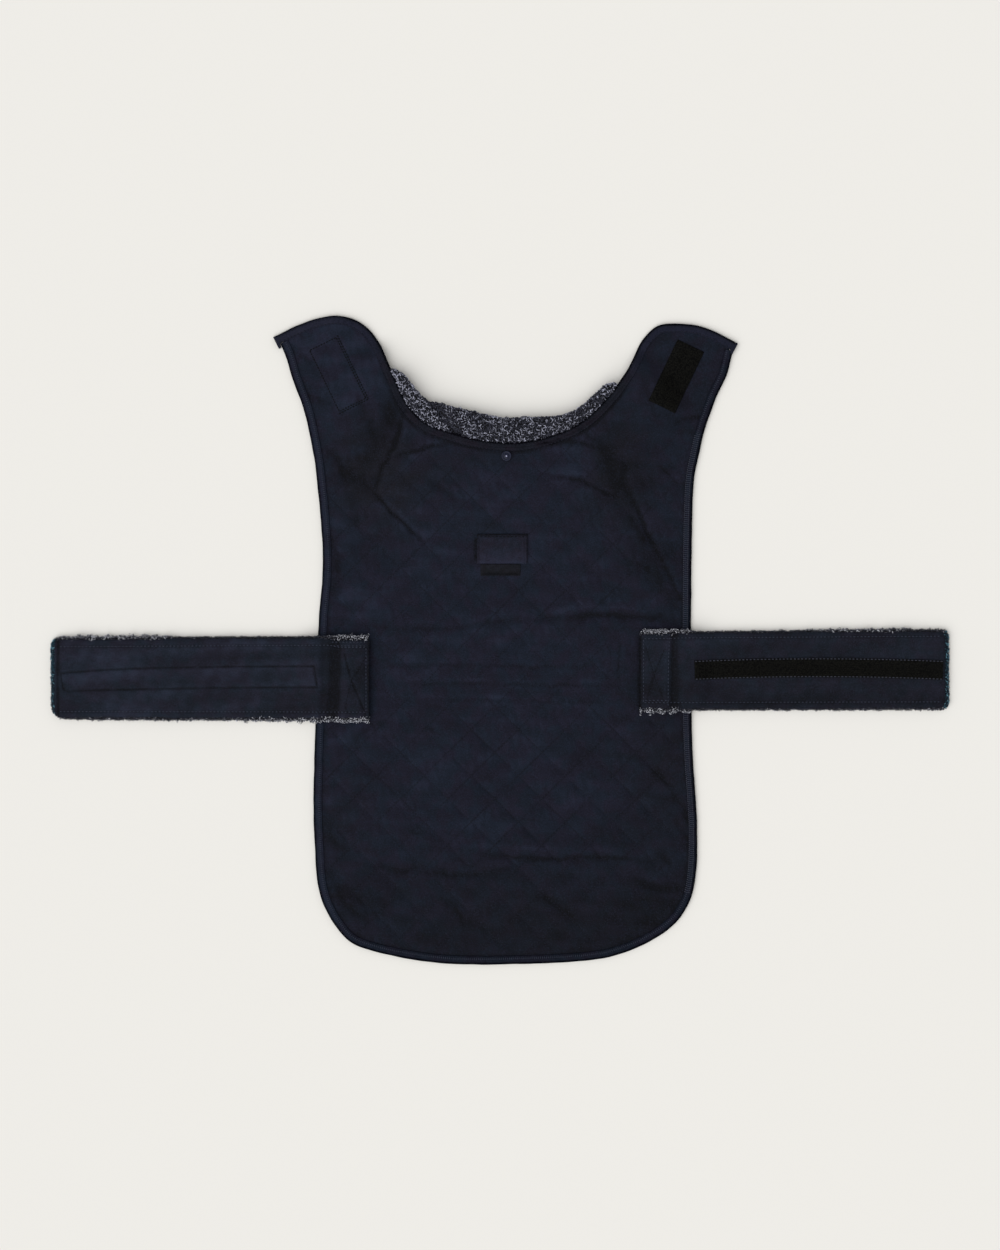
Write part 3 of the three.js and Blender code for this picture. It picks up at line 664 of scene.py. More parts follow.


# Brushed cotton twill: matt, with a fine diagonal rib, a short nap in streaks, and painted shade and light
# where the mesh marks them. The dye runs a little redder and a little greener in soft patches, and fine
# crinkle lines of painted shade cross it.
def brushedTwill(name, colours, tints, seamShadeLine=False, dyeAndShadeColour=None, specular=twill["specular"]):
    material, shader = newMaterial(name)
    darkCloud, paleCloud, streak, pressed, raised = [linear(code) for code in colours]
    place = placeOn(material)
    stretched = addNode(material, "ShaderNodeMapping", {"Vector": place, "Scale": twill["brushed"]})
    brushed = stretched.outputs["Vector"]
    clouds = noise(material, brushed, 28, 4, 0.62)
    napAndPaintedShade = noise(material, brushed, 3.2, 4, 0.7)
    thread = noise(material, place, 0.9, 2, 0.6)
    tone = mixColours(material, mapRange(material, clouds, 0.32, 0.68, 0, 1), darkCloud, paleCloud)
    tone = mixColours(material, mapRange(material, napAndPaintedShade, 0.4, 0.7, 0, 0.55), tone, streak)
    patchy = mapRange(material, noise(material, place, 15, 2, 0.55), 0.42, 0.58, 0, 1)
    tint = mixColours(material, patchy, linear(tints[0]), linear(tints[1]))
    tone = mixColours(material, twill["tinted"], tone, tint)
    # on the lining, the warmer and greyer colour of painted shade; on the neck tape, its own paler tone away
    # from the neck
    if dyeAndShadeColour:
        tone = mixColours(material, painted(material, "dyeAndShade"), tone, linear(dyeAndShadeColour))
    # fine crinkle lines painted dark as shade
    folded = noise(material, place, 16, 1.5, distortion=0.9)
    offFold = calculate(material, "ABSOLUTE", calculate(material, "SUBTRACT", folded, 0.5))
    crinkleShade = mapRange(material, offFold, 0, twill["crinkleWidth"], 1, 0)
    where = mapRange(material, clouds, 0.45, 0.6, 0, twill["crinkled"])
    tone = mixColours(material, calculate(material, "MULTIPLY", crinkleShade, where), tone, pressed)
    # painted shade towards the dark colour and painted light towards the pale one, as the mesh marks them
    shadeAndNap = painted(material, "napAndPaintedShade")
    tone = mixColours(material, mapRange(material, shadeAndNap, 0.5, 0, 0, twill["pressed"]), tone, pressed)
    tone = mixColours(material, mapRange(material, shadeAndNap, 0.5, 1, 0, twill["raised"]), tone, raised)
    tone = mixColours(material, mapRange(material, thread, 0.5, 0.28, 0, twill["grain"]), tone, pressed)
    tone = mixColours(material, mapRange(material, thread, 0.5, 0.72, 0, twill["grainPaler"]), tone, raised)
    # painted shade along the quilting seams, with the thread's dark line
    if seamShadeLine:
        tone = mixColours(material, painted(material, "seam"), tone, pressed)
    # the real rib is about half this wide, too fine to show
    turn = (0, 0, math.radians(twill["ribTurn"]))
    turned = addNode(material, "ShaderNodeMapping", {"Vector": place, "Rotation": turn}).outputs["Vector"]
    ribScale = math.tau / (20 * twill["ribPitch"] * mm)  # a wave texture's phase is 20 x scale x place
    bands = {"Vector": turned, "Scale": ribScale, "Distortion": 1.2, "Detail": 2, "Detail Scale": 1.5}
    rib = addNode(material, "ShaderNodeTexWave", bands, wave_type="BANDS", bands_direction="X").outputs["Fac"]
    normal = relief(material, rib, 0.4, 0.09)
    normal = relief(material, napAndPaintedShade, 0.7, 0.3, normal)
    normal = relief(material, thread, 0.4, 0.12, normal)
    fillSockets(shader, {
        "Base Color": tone,
        "Normal": normal,
        "Roughness": mapRange(material, napAndPaintedShade, 0.3, 0.7, 0.8, 0.97),
        "Sheen Weight": twill["sheen"],
        "Sheen Roughness": 0.45,
        "Sheen Tint": linear("#8a97bb"),
        "Specular IOR Level": specular,
    })
    return material


# Curly boucle pile of acrylic yarn: dark at the roots as painted shade between the curls, paler at the tips
# of the curls as painted light
def bouclePile(name, root, middle, tip):
    material, shader = newMaterial(name)
    height, shade = painted(material, "tip"), painted(material, "shade")
    tone = mixColours(material, mapRange(material, height, 0.05, 0.65, 0, 1), linear(root), linear(middle))
    paler = calculate(material, "MULTIPLY", height, shade)
    tone = mixColours(material, mapRange(material, paler, 0.35, 0.95, 0, 1), tone, linear(tip))
    fibre = noise(material, placeOn(material), 0.6, 3)
    fillSockets(shader, {
        "Base Color": tone,
        "Normal": relief(material, fibre, 0.6, 0.2),
        "Roughness": 0.82,
        "Specular IOR Level": 0.2,
        "Sheen Weight": 0.15,
        "Sheen Roughness": 0.35,
        "Sheen Tint": linear("#b8bccb"),
    })
    return material


# Spun polyester sewing thread: nearly matt, in two shades that run along it
def sewingThread(name, colours):
    material, shader = newMaterial(name)
    twist = noise(material, placeOn(material), 1.2, 2)
    tone = mixColours(material, twist, linear(colours[0]), linear(colours[1]))
    fillSockets(shader, {"Base Color": tone, "Roughness": 0.7, "Specular IOR Level": 0.12})
    return material


# Woven nylon hook tape: black and matt, paler at the middle of each cell of the weave
def nylonTape(name, ground, tip, roughness):
    material, shader = newMaterial(name)
    cells = {"Vector": placeOn(material), "Scale": 1 / (1.3 * mm)}
    weave = addNode(material, "ShaderNodeTexVoronoi", cells, feature="F1").outputs["Distance"]
    tone = mixColours(material, mapRange(material, weave, 0, 0.7, 1, 0), linear(ground), linear(tip))
    fillSockets(shader, {
        "Base Color": tone,
        "Normal": relief(material, weave, 0.8, 0.5, invert=True),
        "Roughness": roughness,
        "Specular IOR Level": 0.06,
    })
    return material


# Moulded acetal stud cap: navy, half gloss
def mouldedStud(name, colours):
    material, shader = newMaterial(name)
    grain = noise(material, placeOn(material), 0.8, 2)
    tone = mixColours(material, grain, linear(colours[0]), linear(colours[1]))
    fillSockets(shader, {"Base Color": tone, "Roughness": 0.3, "Specular IOR Level": 0.16})
    return material


# Nickel-plated brass post in the stud's middle: bright, lightly brushed
def platedPost(name):
    material, shader = newMaterial(name)
    grain = noise(material, placeOn(material), 0.3, 2)
    brushed = mapRange(material, grain, 0.3, 0.7, 0.2, 0.35)
    fillSockets(shader, {"Base Color": linear("#8c8ca2"), "Metallic": 1, "Roughness": brushed})
    return material


# Each twill's colours: dark and pale clouds, the streaks, the dark colour of painted shade and fine grain,
# and the pale colour of painted light and fine grain
finishes = {
    "lining": brushedTwill("navyBrushedTwill", ("#151720", "#191c28", "#1f2431", "#0a0a0c", "#2c3143"),
                           ("#1c1825", "#151d28"), seamShadeLine=True, dyeAndShadeColour="#19181d"),
    "strapTwill": brushedTwill("navyStrapTwill", ("#161820", "#1b1e28", "#222633", "#0a0a0c", "#303546"),
                               ("#1f1c27", "#182029")),
    "binding": brushedTwill("navyTwillBinding", ("#171921", "#1c1f2a", "#252936", "#020203", "#2c3040"),
                            ("#1f1c26", "#182028"), specular=0),
    "neckTape": brushedTwill("navyNeckTape", ("#18181e", "#1c1c24", "#24242d", "#020203", "#2c2d39"),
                             ("#1f1b21", "#1a1e23"), dyeAndShadeColour="#20222f", specular=0),
    "flap": brushedTwill("navyFlapTwill", ("#181820", "#1d1e29", "#262937", "#08080b", "#2f3346"),
                         ("#1f1a25", "#191e29")),
    "slot": brushedTwill("darkSlotTwill", ("#121318", "#17181d", "#1c1d24", "#06060a", "#23252e"),
                         ("#171519", "#131719")),
    "pile": bouclePile("greyBouclePile", "#090a0f", "#333440", "#bdbfd2"),
    "rimPile": bouclePile("greyRimPile", "#0e0f14", "#383944", "#e4e6f0"),
    "tealPile": bouclePile("tealEdgePile", "#0a1720", "#1c3c4b", "#86bdd2"),
    "thread": sewingThread("navyThread", ("#10121a", "#1b1e29")),
    "strapThread": sewingThread("slateThread", ("#262a36", "#363b49")),
    "paleThread": sewingThread("greyThread", ("#2d2f39", "#40424d")),
    "darkThread": sewingThread("darkNavyThread", ("#07080b", "#0b0d13")),
    "hook": nylonTape("blackHookTape", "#040404", "#161613", 0.8),
    "hooks": nylonTape("blackNylonHooks", "#0b0b0a", "#302d27", 0.8),
    "loop": nylonTape("darkLoopTape", "#0d0e12", "#1a1c22", 0.9),
    "stud": mouldedStud("navyMouldedStud", ("#131626", "#1d2137")),
    "post": platedPost("nickelPost"),
}


def finishPiece(piece, finish, nodes=()):
    piece.data.materials.clear()
    piece.data.materials.append(finishes[finish])
    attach(piece, "root")
    if nodes:
        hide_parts(*nodes)
    return piece


# Quilted panel: a lattice that follows the quilting seams, cut to the outline and given a flat underside
def makePanel():
    (aFrom, aTo), (bFrom, bTo) = panel["cellsA"], panel["cellsB"]
    each = panel["facesPerCell"]

    def closerAtSeams(value):
        return value - 0.55 * np.sin(math.tau * value) / math.tau

    def place(u, v):
        a = closerAtSeams(aFrom + u * (aTo - aFrom))
        b = closerAtSeams(bFrom + v * (bTo - bFrom))
        x, y = quiltPlace(a, b)
        return x, y, 0 * x

    piece = gridPiece("body_lining", (aTo - aFrom) * each, (bTo - bFrom) * each, place)
    x, y, _ = getPlaces(piece).T
    edgeGap = fromOutline(x, y)
    outside = ~insideOutline(x, y) | (edgeGap < 3)

    def cut():
        bpy.ops.mesh.delete(type="VERT")

    bpy.context.tool_settings.mesh_select_mode = (True, False, False)
    editWhere(piece, outside, cut)
    x, y, _ = getPlaces(piece).T
    setPlaces(piece, np.column_stack([x, y, panelTop(x, y)]))
    edgeGap = fromOutline(x, y)
    clear = smoothstep(7, 14, edgeGap)
    for name, patch in patches.items():
        if name != "neckLoop":
            clear = clear * smoothstep(-1, 1, outsidePatch(patch, x, y))
    # painted shade along the quilting seams, painted light and shade with the nap's own tone, and the warmer
    # painted shade in the hollows
    pointAttribute(piece, "seam", quiltSeamShade(x, y) * clear)
    pointAttribute(piece, "napAndPaintedShade", panelNapAndShade(x, y))
    pointAttribute(piece, "dyeAndShade", panelShadeTint(x, y))
    upper = len(x)
    thicken(piece, panel["skin"])
    places = getPlaces(piece)
    low = places[upper:]
    places[upper:, 2] = liftAt(low[:, 0], low[:, 1]) + panel["offLift"]
    setPlaces(piece, places)
    underside = piece.vertex_groups.new(name="underside")
    underside.add(list(range(upper, len(places))), 1, "REPLACE")
    applyModifier(piece, "DECIMATE", ratio=panel["undersideKept"], vertex_group="underside")
    smoothShade(piece, 60)
    finishPiece(piece, "lining", ["body_panel"])
    print("panel:", len(piece.data.polygons), "faces")
    return piece


# Lines along each binding, from its outer edge: place, half width and how much painted shade darkens it
# (less than 0 paints it paler)
bindingShadeLines = {
    "side_binding": [(3.2, 0.5, 0.08), (5.2, 1.2, 0.1), (7.3, 0.6, 0.3)],
    "neck_binding": [(2.3, 0.6, 0.12), (4.8, 0.6, 0.14), (6.2, 0.6, -0.06), (7.4, 0.6, 0.3)],
}
# painted shade: the rolled outer edge is near black this far in
shadedRim = {"side_binding": 2.1, "neck_binding": 1.8}  # how far in the outer edge is near black


# The upper side of a binding's section: from the outer edge, and height
bindingUpper = [(0.55, 2.9), (1.15, 3.2), (1.7, 3.25), (2.3, 3.35), (3.0, 3.4), (3.8, 3.42), (4.6, 3.4),
                (5.3, 3.35), (5.9, 3.25), (6.5, 3.2), (7.0, 3.05), (7.4, 2.7)]


# A binding folded over an edge: closed section, its upper side drawn in along the stitch rows
def makeBinding(name, path, finish, node, endReach, stitched):
    length = pathLength(path)
    under = [(7.5, 0.3), (5.2, 0.05), (2.6, 0.0), (0.9, 0.1), (0.2, 0.7), (0.0, 1.5), (0.15, 2.3)]
    loop = np.array(under + bindingUpper + [(7.5, 2.0)])
    columns = round(length / binding["stepAlong"])
    rows = len(loop)

    def place(u, v):
        corner = np.rint(v * rows).astype(int) % rows
        across, up = loop[corner].T
        distance = u * (length + 2 * endReach) - endReach
        x, y, alongX, alongY = alongPath(path, distance)
        over = np.where(distance < 0, distance, np.where(distance > length, distance - length, 0))
        x, y = x + over * alongX, y + over * alongY
        fromEnd = np.minimum(distance + endReach, length + endReach - distance)
        across = across * np.where(fromEnd < endReach, binding["endWidth"] / binding["width"], 1)
        beat = abs(np.sin(math.pi * distance / binding["stitchPitch"]))
        for row in binding["stitchRows"]:
            drawn = bell(across - row, 0.55) * (0.18 + 0.3 * beat)
            up = up - np.where(up > 2.6, drawn, 0) * stitched
        up = up + np.where(up > 2.6, 0.1 * uneven(distance, across * 2, 11, 5), 0)
        px, py = x + turnIn * alongY * across, y - turnIn * alongX * across
        wander = 0.18 * uneven(distance, 0 * distance, 26, 9)
        px, py = px + wander * alongY, py - wander * alongX
        return px, py, liftAt(px, py) + np.maximum(up, 0)

    turnIn = 1 if node == "neck_binding" else -1
    piece = gridPiece(name, columns, rows, place)
    weldAndClose(piece)
    smoothShade(piece, 60)
    x, y, _ = getPlaces(piece).T
    fromEdge = nearestOn(path, x, y)[0]
    atNeck = smoothstep(-112, -92, x) * smoothstep(122, 102, x)
    strength = 0.3 + 0.7 * atNeck if node == "neck_binding" else 1
    # painted shade: darker in the panel's creases, along the stitch lines and at the rolled outer edge; paler
    # on the far left
    napAndPaintedShade = 0.5 + 0.05 * uneven(x, y, 17, 89) - 0.4 * creaseEffect(x, y)[1]
    napAndPaintedShade = napAndPaintedShade + 0.2 * smoothstep(-120, -150, x)
    for at, halfWidth, darker in bindingShadeLines[node]:
        napAndPaintedShade = napAndPaintedShade - strength * darker * bell(fromEdge - at, halfWidth)
    napAndPaintedShade = napAndPaintedShade - 0.6 * np.exp(-((fromEdge / shadedRim[node]) ** 4))
    pointAttribute(piece, "napAndPaintedShade", np.clip(napAndPaintedShade, 0, 1))
    pointAttribute(piece, "dyeAndShade", 0.85 * (1 - atNeck))
    finishPiece(piece, finish, [node])
    print(name + ":", len(piece.data.polygons), "faces")
    return piece


makePanel()
sideRun = sideEdge[4:-4]
makeBinding("side_edge_binding", sideRun, "binding", "side_binding", 0, 1)
makeBinding("neck_edge_binding", topEdge, "neckTape", "neck_binding", binding["endReach"], 0.5)


# Spots spread evenly over part of a mesh, with the surface's direction at each
def evenSpots(piece, spacing, keep, tries=6):
    mesh = piece.data
    mesh.calc_loop_triangles()
    corners = np.empty(len(mesh.loop_triangles) * 3, int)
    mesh.loop_triangles.foreach_get("vertices", corners)
    corners = getPlaces(piece)[corners.reshape(-1, 3)]
    edges = np.cross(corners[:, 1] - corners[:, 0], corners[:, 2] - corners[:, 0])
    areas = np.linalg.norm(edges, axis=1) / 2
    weights = areas * keep(corners.mean(axis=1))
    count = int(weights.sum() / spacing**2 * tries)
    chosen = dice.choice(len(corners), count, p=weights / weights.sum())
    s, t = dice.random(count), dice.random(count)
    s, t = np.where(s + t > 1, 1 - s, s)[:, None], np.where(s + t > 1, 1 - t, t)[:, None]
    three = corners[chosen]
    spots = three[:, 0] + s * (three[:, 1] - three[:, 0]) + t * (three[:, 2] - three[:, 0])
    taken, kept = {}, []
    for index, spot in enumerate(spots):
        cell = tuple((spot // spacing).astype(int))
        around = [
            other for i in (-1, 0, 1) for j in (-1, 0, 1) for k in (-1, 0, 1)
            for other in taken.get((cell[0] + i, cell[1] + j, cell[2] + k), ())
        ]
        if all(((spot - other) ** 2).sum() > spacing**2 * 0.72 for other in around):
            taken.setdefault(cell, []).append(spot)
            kept.append(index)
    return spots[kept], unit(edges[chosen[kept]])


curl = {"ring": 0.8, "yarn": 0.43, "spacing": 1.5, "lean": 0.8}
strand = {"ring": 0.62, "yarn": 0.17, "each": 0.3, "spread": 0.75, "lean": 1.4}


# One loop of the pile's yarn, standing on its edge and twisted
def makeCurlTemplate(kind):
    deselectAll()
    bpy.ops.mesh.primitive_torus_add(
        major_segments=7, minor_segments=3, major_radius=kind["ring"] * mm, minor_radius=kind["yarn"] * mm)
    ring = bpy.context.object
    x, y, z = getPlaces(ring).T
    turn = np.arctan2(y, x)
    setPlaces(ring, np.column_stack([x * 1.15, z + 0.4 * np.sin(2 * turn), y + 0.3]))
    return ring


# Covers spots with curls of the pile
def growCurls(name, spots, normals, sizes, shades, finish, kind=curl):
    count = len(spots)
    ups = unit(normals + kind["lean"] * dice.normal(size=(count, 3)) * 0.6)
    aheads = unit(np.cross(ups, unit(dice.normal(size=(count, 3)))))
    sides = np.cross(ups, aheads)
    template = makeCurlTemplate(kind)
    piece = scatter(name, template, spots, sides, aheads, ups, sizes, shades)
    bpy.data.objects.remove(template)
    places = getPlaces(piece)
    places[:, 2] = np.maximum(places[:, 2], 0.05)
    setPlaces(piece, places)
    finishPiece(piece, finish)
    print(name + ":", count, "curls")
    return piece


collar = {
    "gap": 0.3,
    "rightEnd": 99.3,
    "x": [-91, -88.5, -82, -74, -61, -41, -22, 2, 24, 40, 56, 72, 85, 95.5, 97.5, 99, 103],
    "stand": [1.6, 6.6, 10.8, 13.2, 18.9, 20.0, 20.8, 19.4, 19.4, 16.0, 11.9, 9.2, 8.6, 7.0, 4.2, 0.9, 0.4],
    "rollFold": [(-64, 205), (-55, 194), (-41, 179.5), (-33, 176)],  # where the left end laps over the rest
    "foldDepth": 2.4,
    "lapRise": 0.9,
    # round the section from the floor outside, as shares of the stand, then of the fall
    "standLoop": [(0.86, 0.1), (0.97, 2), (1, 5.4), (1, 8.6), (0.93, 11.2), (0.7, 12.4), (0.4, 12.4),
                  (0.14, 11.2), (0, 9.4), (0, 6.0)],
    "fallLoop": [(0.5, 5.8), (0.93, 5.8), (1, 3.6), (0.97, 0.1), (0.45, 0.1)],
    "lump": 0.6,
    "paleEnds": 24,
}


def collarLoop():
    points = [(share, 0, up) for share, up in collar["standLoop"]]
    points += [(0, share, up) for share, up in collar["fallLoop"]]
    points.append(points[0])
    flat = np.array(points)
    run = np.concatenate([[0], np.cumsum(np.hypot(20 * np.diff(flat[:, 0]) + 44 * np.diff(flat[:, 1]),
                                                  np.diff(flat[:, 2])))])
    return flat, run / run[-1]


collarFold = smoothPath(collar["rollFold"], 2)


# 1 on the end of the collar that laps over, left of its fold, and 0 on the rest
def lapShare(x, y):
    foldX = np.interp(-y, -collarFold[:, 1], collarFold[:, 0])
    return smoothstep(1.5, -1.5, x - foldX) * smoothstep(176, 182, y)


# Curly collar: a rolled stand beyond the neck edge and a fall under the panel, as one closed form
def makeCollar():
    flat, shares = collarLoop()
    length = pathLength(neckSeam[neckSeam[:, 0] < collar["rightEnd"]])

    def place(u, v):
        stand, fall, up = [np.interp(v % 1, shares, column) for column in flat.T]
        x, y, alongX, alongY = alongPath(neckSeam, u * length)
        standOut = np.interp(x, collar["x"], collar["stand"])
        fallIn = np.interp(x, collarRows["x"], collarRows["fall"])
        lumps = collar["lump"] * (uneven(u * length, v * 90, 8, 41) + 0.7 * uneven(u * length, v * 90, 4, 42))
        onStand = smoothstep(0.05, 0.5, stand)
        swell = onStand * lumps
        out = collar["gap"] + stand * standOut - fall * fallIn + swell * smoothstep(0.6, 1, stand)
        up = up + swell * smoothstep(5, 9, up)
        px, py = x - out * alongY, y + out * alongX
        fold = nearestOn(collarFold, px, py)[0]
        lap = smoothstep(3, 0.5, fold) * collar["foldDepth"] - collar["lapRise"] * lapShare(px, py)
        up = up - lap * smoothstep(6, 9, up)
        return px, py, np.maximum(up, 0.1)

    piece = gridPiece("collar_pile", 220, 72, place)
    weldAndClose(piece)
    smoothShade(piece, 80)
    finishPiece(piece, "pile", ["collar"])

    def visible(centres):
        x, y, z = centres.T
        distance = nearestOn(neckSeam, x, y)[0]
        outside = ~insideOutline(x, y) & (distance > 0.3)
        return np.where(outside & (z > 1.0), 1.0, 0.0)

    spots, normals = evenSpots(piece, curl["spacing"], visible)
    count = len(spots)
    distance, along, _, _ = nearestOn(neckSeam, spots[:, 0], spots[:, 1])
    seamX = alongPath(neckSeam, along)[0]
    standOut = np.interp(seamX, collar["x"], collar["stand"])
    fromTop = np.clip(distance / standOut, 0, 1)
    fromEnd = np.minimum(along, length - along)
    # painted light and shade on the curls: paler towards the ends, a painted highlight along the lap's rolled
    # rim, painted shade in and beside its fold, darker towards the right
    light = 0.5 + 0.06 * smoothstep(0.6, 1, fromTop) + 0.34 * (1 - smoothstep(0, collar["paleEnds"], fromEnd))
    x, y = spots[:, 0], spots[:, 1]
    fromFold = nearestOn(collarFold, x, y)[0]
    light = light + lapShare(x, y) * (0.1 + 0.3 * bell(fromFold - 4, 3))
    light = light - 0.55 * smoothstep(3.4, 0.8, fromFold)
    light = light - 0.12 * (1 - lapShare(x, y)) * smoothstep(10, 3, fromFold)
    light = light - 0.14 * smoothstep(50, 90, seamX)
    shades = np.clip(light + 0.36 * dice.normal(size=count) + 0.12 * uneven(x, y, 22, 44), 0, 1)
    sizes = dice.uniform(0.7, 1.3, count)
    curls = growCurls("collar_curls", spots, normals, sizes, shades, "pile")
    print("collar:", len(piece.data.polygons), "faces")


makeCollar()


# Height of a strap's underside: on the panel at its sewn end, on the surface past the panel's side
def strapBase(side, x):
    outward = outwardOf(side)
    past = outward * (x - side["panelEdge"])
    return strap["onPanel"] * (1 - smoothstep(0, strap["step"], past))


def nipAt(side, x):
    outward = outwardOf(side)
    return side["nip"] * (1 - smoothstep(24, 34, outward * (x - side["sewn"]["x"])))


def strapEdges(side, x):
    share = (x - side["sewn"]["x"]) / (side["free"]["x"] - side["sewn"]["x"])
    top = side["sewn"]["top"] + share * (side["free"]["top"] - side["sewn"]["top"])
    bottom = side["sewn"]["bottom"] + share * (side["free"]["bottom"] - side["sewn"]["bottom"])
    return top - nipAt(side, x), bottom


# What is sewn on each strap: seams that draw the cloth in, with how much they sink and how much painted shade
# darkens them, and rows of pale topstitching. Its folds are rows too: path, depth (less than 0 is a ridge),
# half width before and after the path, from the left or from above, how much painted shade darkens it (less
# than 0 paints it paler), and half the width of the flat middle.
strapLines = {
    "left": {
        "seams": [
            ([(-131.5, -12), (-125.8, -34), (-119, -50), (-113.5, -64)], 0.42),
            ([(-113.5, -14), (-119, -24), (-125.8, -34)], 0.2),
            ([(-125.8, -34), (-129, -48), (-131.5, -62)], 0.1),
            ([(-372.3, -28), (-340, -25.6), (-297, -23.8), (-230, -22.6), (-157.5, -22.1)], 0.42),
            ([(-369, -43.4), (-340, -42.4), (-297, -41.6), (-230, -40.4), (-154.7, -40)], 0.42),
            ([(-157.5, -22.1), (-156, -31), (-154.7, -40)], 0.5),
            ([(-372.3, -28), (-371.5, -36), (-369, -43.4)], 0.42),
        ],
        "pale": [[(-143, -1.7), (-113, -1.7)], [(-142, -4.9), (-113, -4.9)]],
        "folds": [
            ([(-142.4, 3), (-142.6, -20), (-143, -45), (-144.4, -69)], 1.3, (3, 1.8), 0.4, 6.2),
            ([(-138.8, 3), (-139.2, -20), (-140, -45), (-141.8, -69)], 1.0, (3.4, 1.6), 0.4, 2.2),
            ([(-131, 1), (-131.2, -34), (-132, -66)], -0.4, (2.2, 4), -0.14, 0),
            ([(-374.6, 0), (-375, -35), (-374.6, -68)], 0.9, (1.4, 1.6), 0.8, 0),
            ([(-368, -33), (-300, -31), (-220, -30), (-160, -31)], -0.4, (6, 6), 0.02, 0),
            ([(-330, -52), (-290, -55), (-240, -52)], 0.4, (6, 6), 0.15, 0),
            ([(-205, -50), (-180, -53), (-155, -50)], 0.4, (12, 12), 0.32, 0),
            ([(-250, -12), (-215, -10), (-180, -13)], 0.35, (5, 5), 0.1, 0),
            ([(-122, -12), (-118, -34), (-123, -54)], 0.4, (4, 4), 0.2, 0),
        ],
    },
    "right": {
        "seams": [
            ([(123.5, -6), (130.5, -30), (139, -52)], 0.13),
            ([(139, -8), (130.5, -30), (124, -52)], 0.15),
        ],
        "pale": [[(143.6, 6), (142.6, -20), (142.2, -56)], [(122, -51), (142, -51)]],
        "folds": [
            ([(141.6, 9), (141, -25), (140.4, -58)], -0.7, (2.4, 2), -0.12, 0),
            ([(146.4, 9), (146.4, -25), (146, -58)], 1.4, (1.8, 5), 0.85, 0),
            ([(131, -8), (128, -28), (133, -48)], 0.4, (4, 4), 0.15, 0),
            ([(160, -48), (250, -50), (300, -46)], 0.4, (6, 6), 0.2, 0),
            ([(180, -8), (240, -6), (310, -8)], 0.35, (5, 5), 0.1, 0),
            ([(158, 0), (160, -14), (157, -24)], 0.5, (3.5, 3.5), 0.2, 0),
        ],
    },
}
sunk = {"groove": 0.6, "halfWidth": 0.8}


# How deep the folds of a strap are, and how much painted shade darkens them
def strapFolds(key, x, y):
    depth, shade = np.zeros(x.shape), np.zeros(x.shape)
    for points, deep, halfWidths, darker, flat in strapLines[key]["folds"]:
        path = smoothPath(points, 5)
        length = pathLength(path)
        distance, along, nearX, nearY = nearestOn(path, x, y)
        upright = abs(path[-1, 1] - path[0, 1]) > abs(path[-1, 0] - path[0, 0])
        before = x < nearX if upright else y > nearY
        width = np.where(before, *halfWidths)
        distance = np.maximum(distance - flat, 0)
        fromEnd = np.minimum(along, length - along) / length
        across = upright and length > 60
        ends = 1 if across else smoothstep(-0.1, 0.25, fromEnd)
        depth += deep * ends * bell(distance, width)
        shade += darker * ends * bell(distance, width)
    return depth, shade


# Distance to the nearer row of topstitching along a long edge
def fromTopstitch(side, x, y):
    top, bottom = strapEdges(side, x)
    above, below = side["topstitch"]
    return np.minimum(abs(top - y - above), abs(y - bottom - below))


# How thick the pile is: pressed thin at the sewn end
def pileThickness(side, x):
    outward = outwardOf(side)
    fromSewn = outward * (x - side["sewn"]["x"])
    return strap["pile"] - strap["pressed"] * (1 - smoothstep(0, strap["pressedFor"], fromSewn))


# How the strap's lining looks, with painted shade: dark lines along its seams, topstitching and sewn end,
# darker in its folds and near the left strap's sewn end, and darker towards the bottom. The left strap is
# paler than the right, painted light; the streaks are the nap's own.
def strapNapAndShade(key, x, y):
    side = straps[key]
    outward = outwardOf(side)
    shown = 0.75 + 0.35 * uneven(x, y, 14, 95)  # the lines come and go
    groove = 0.2 * bell(fromTopstitch(side, x, y), 0.8)
    for seam, dark in strapLines[key]["seams"]:
        distance = nearestOn(smoothPath(seam, 6), x, y)[0]
        groove = np.maximum(groove, 1.15 * dark * shown * bell(distance, 0.85))
    fromSewn = outward * (x - side["sewn"]["x"])
    groove = np.maximum(groove, 0.5 * bell(fromSewn, 1.1))
    streaks = 0.11 * uneven(x * 0.25, y, 22, 91) + 0.07 * uneven(x * 0.4, y, 60, 92)
    streaks = streaks + 0.06 * uneven(x * 0.5, y, 8, 93)
    toLow = (0.02 if key == "left" else 0.09) * smoothstep(-20, -50, y)
    base = 0.53 if key == "left" else 0.37
    sewnEnd = 0.18 * smoothstep(150, 134, abs(x)) if key == "left" else 0
    return np.clip(base - groove - toLow - sewnEnd + streaks - 0.6 * strapFolds(key, x, y)[1], 0, 1)


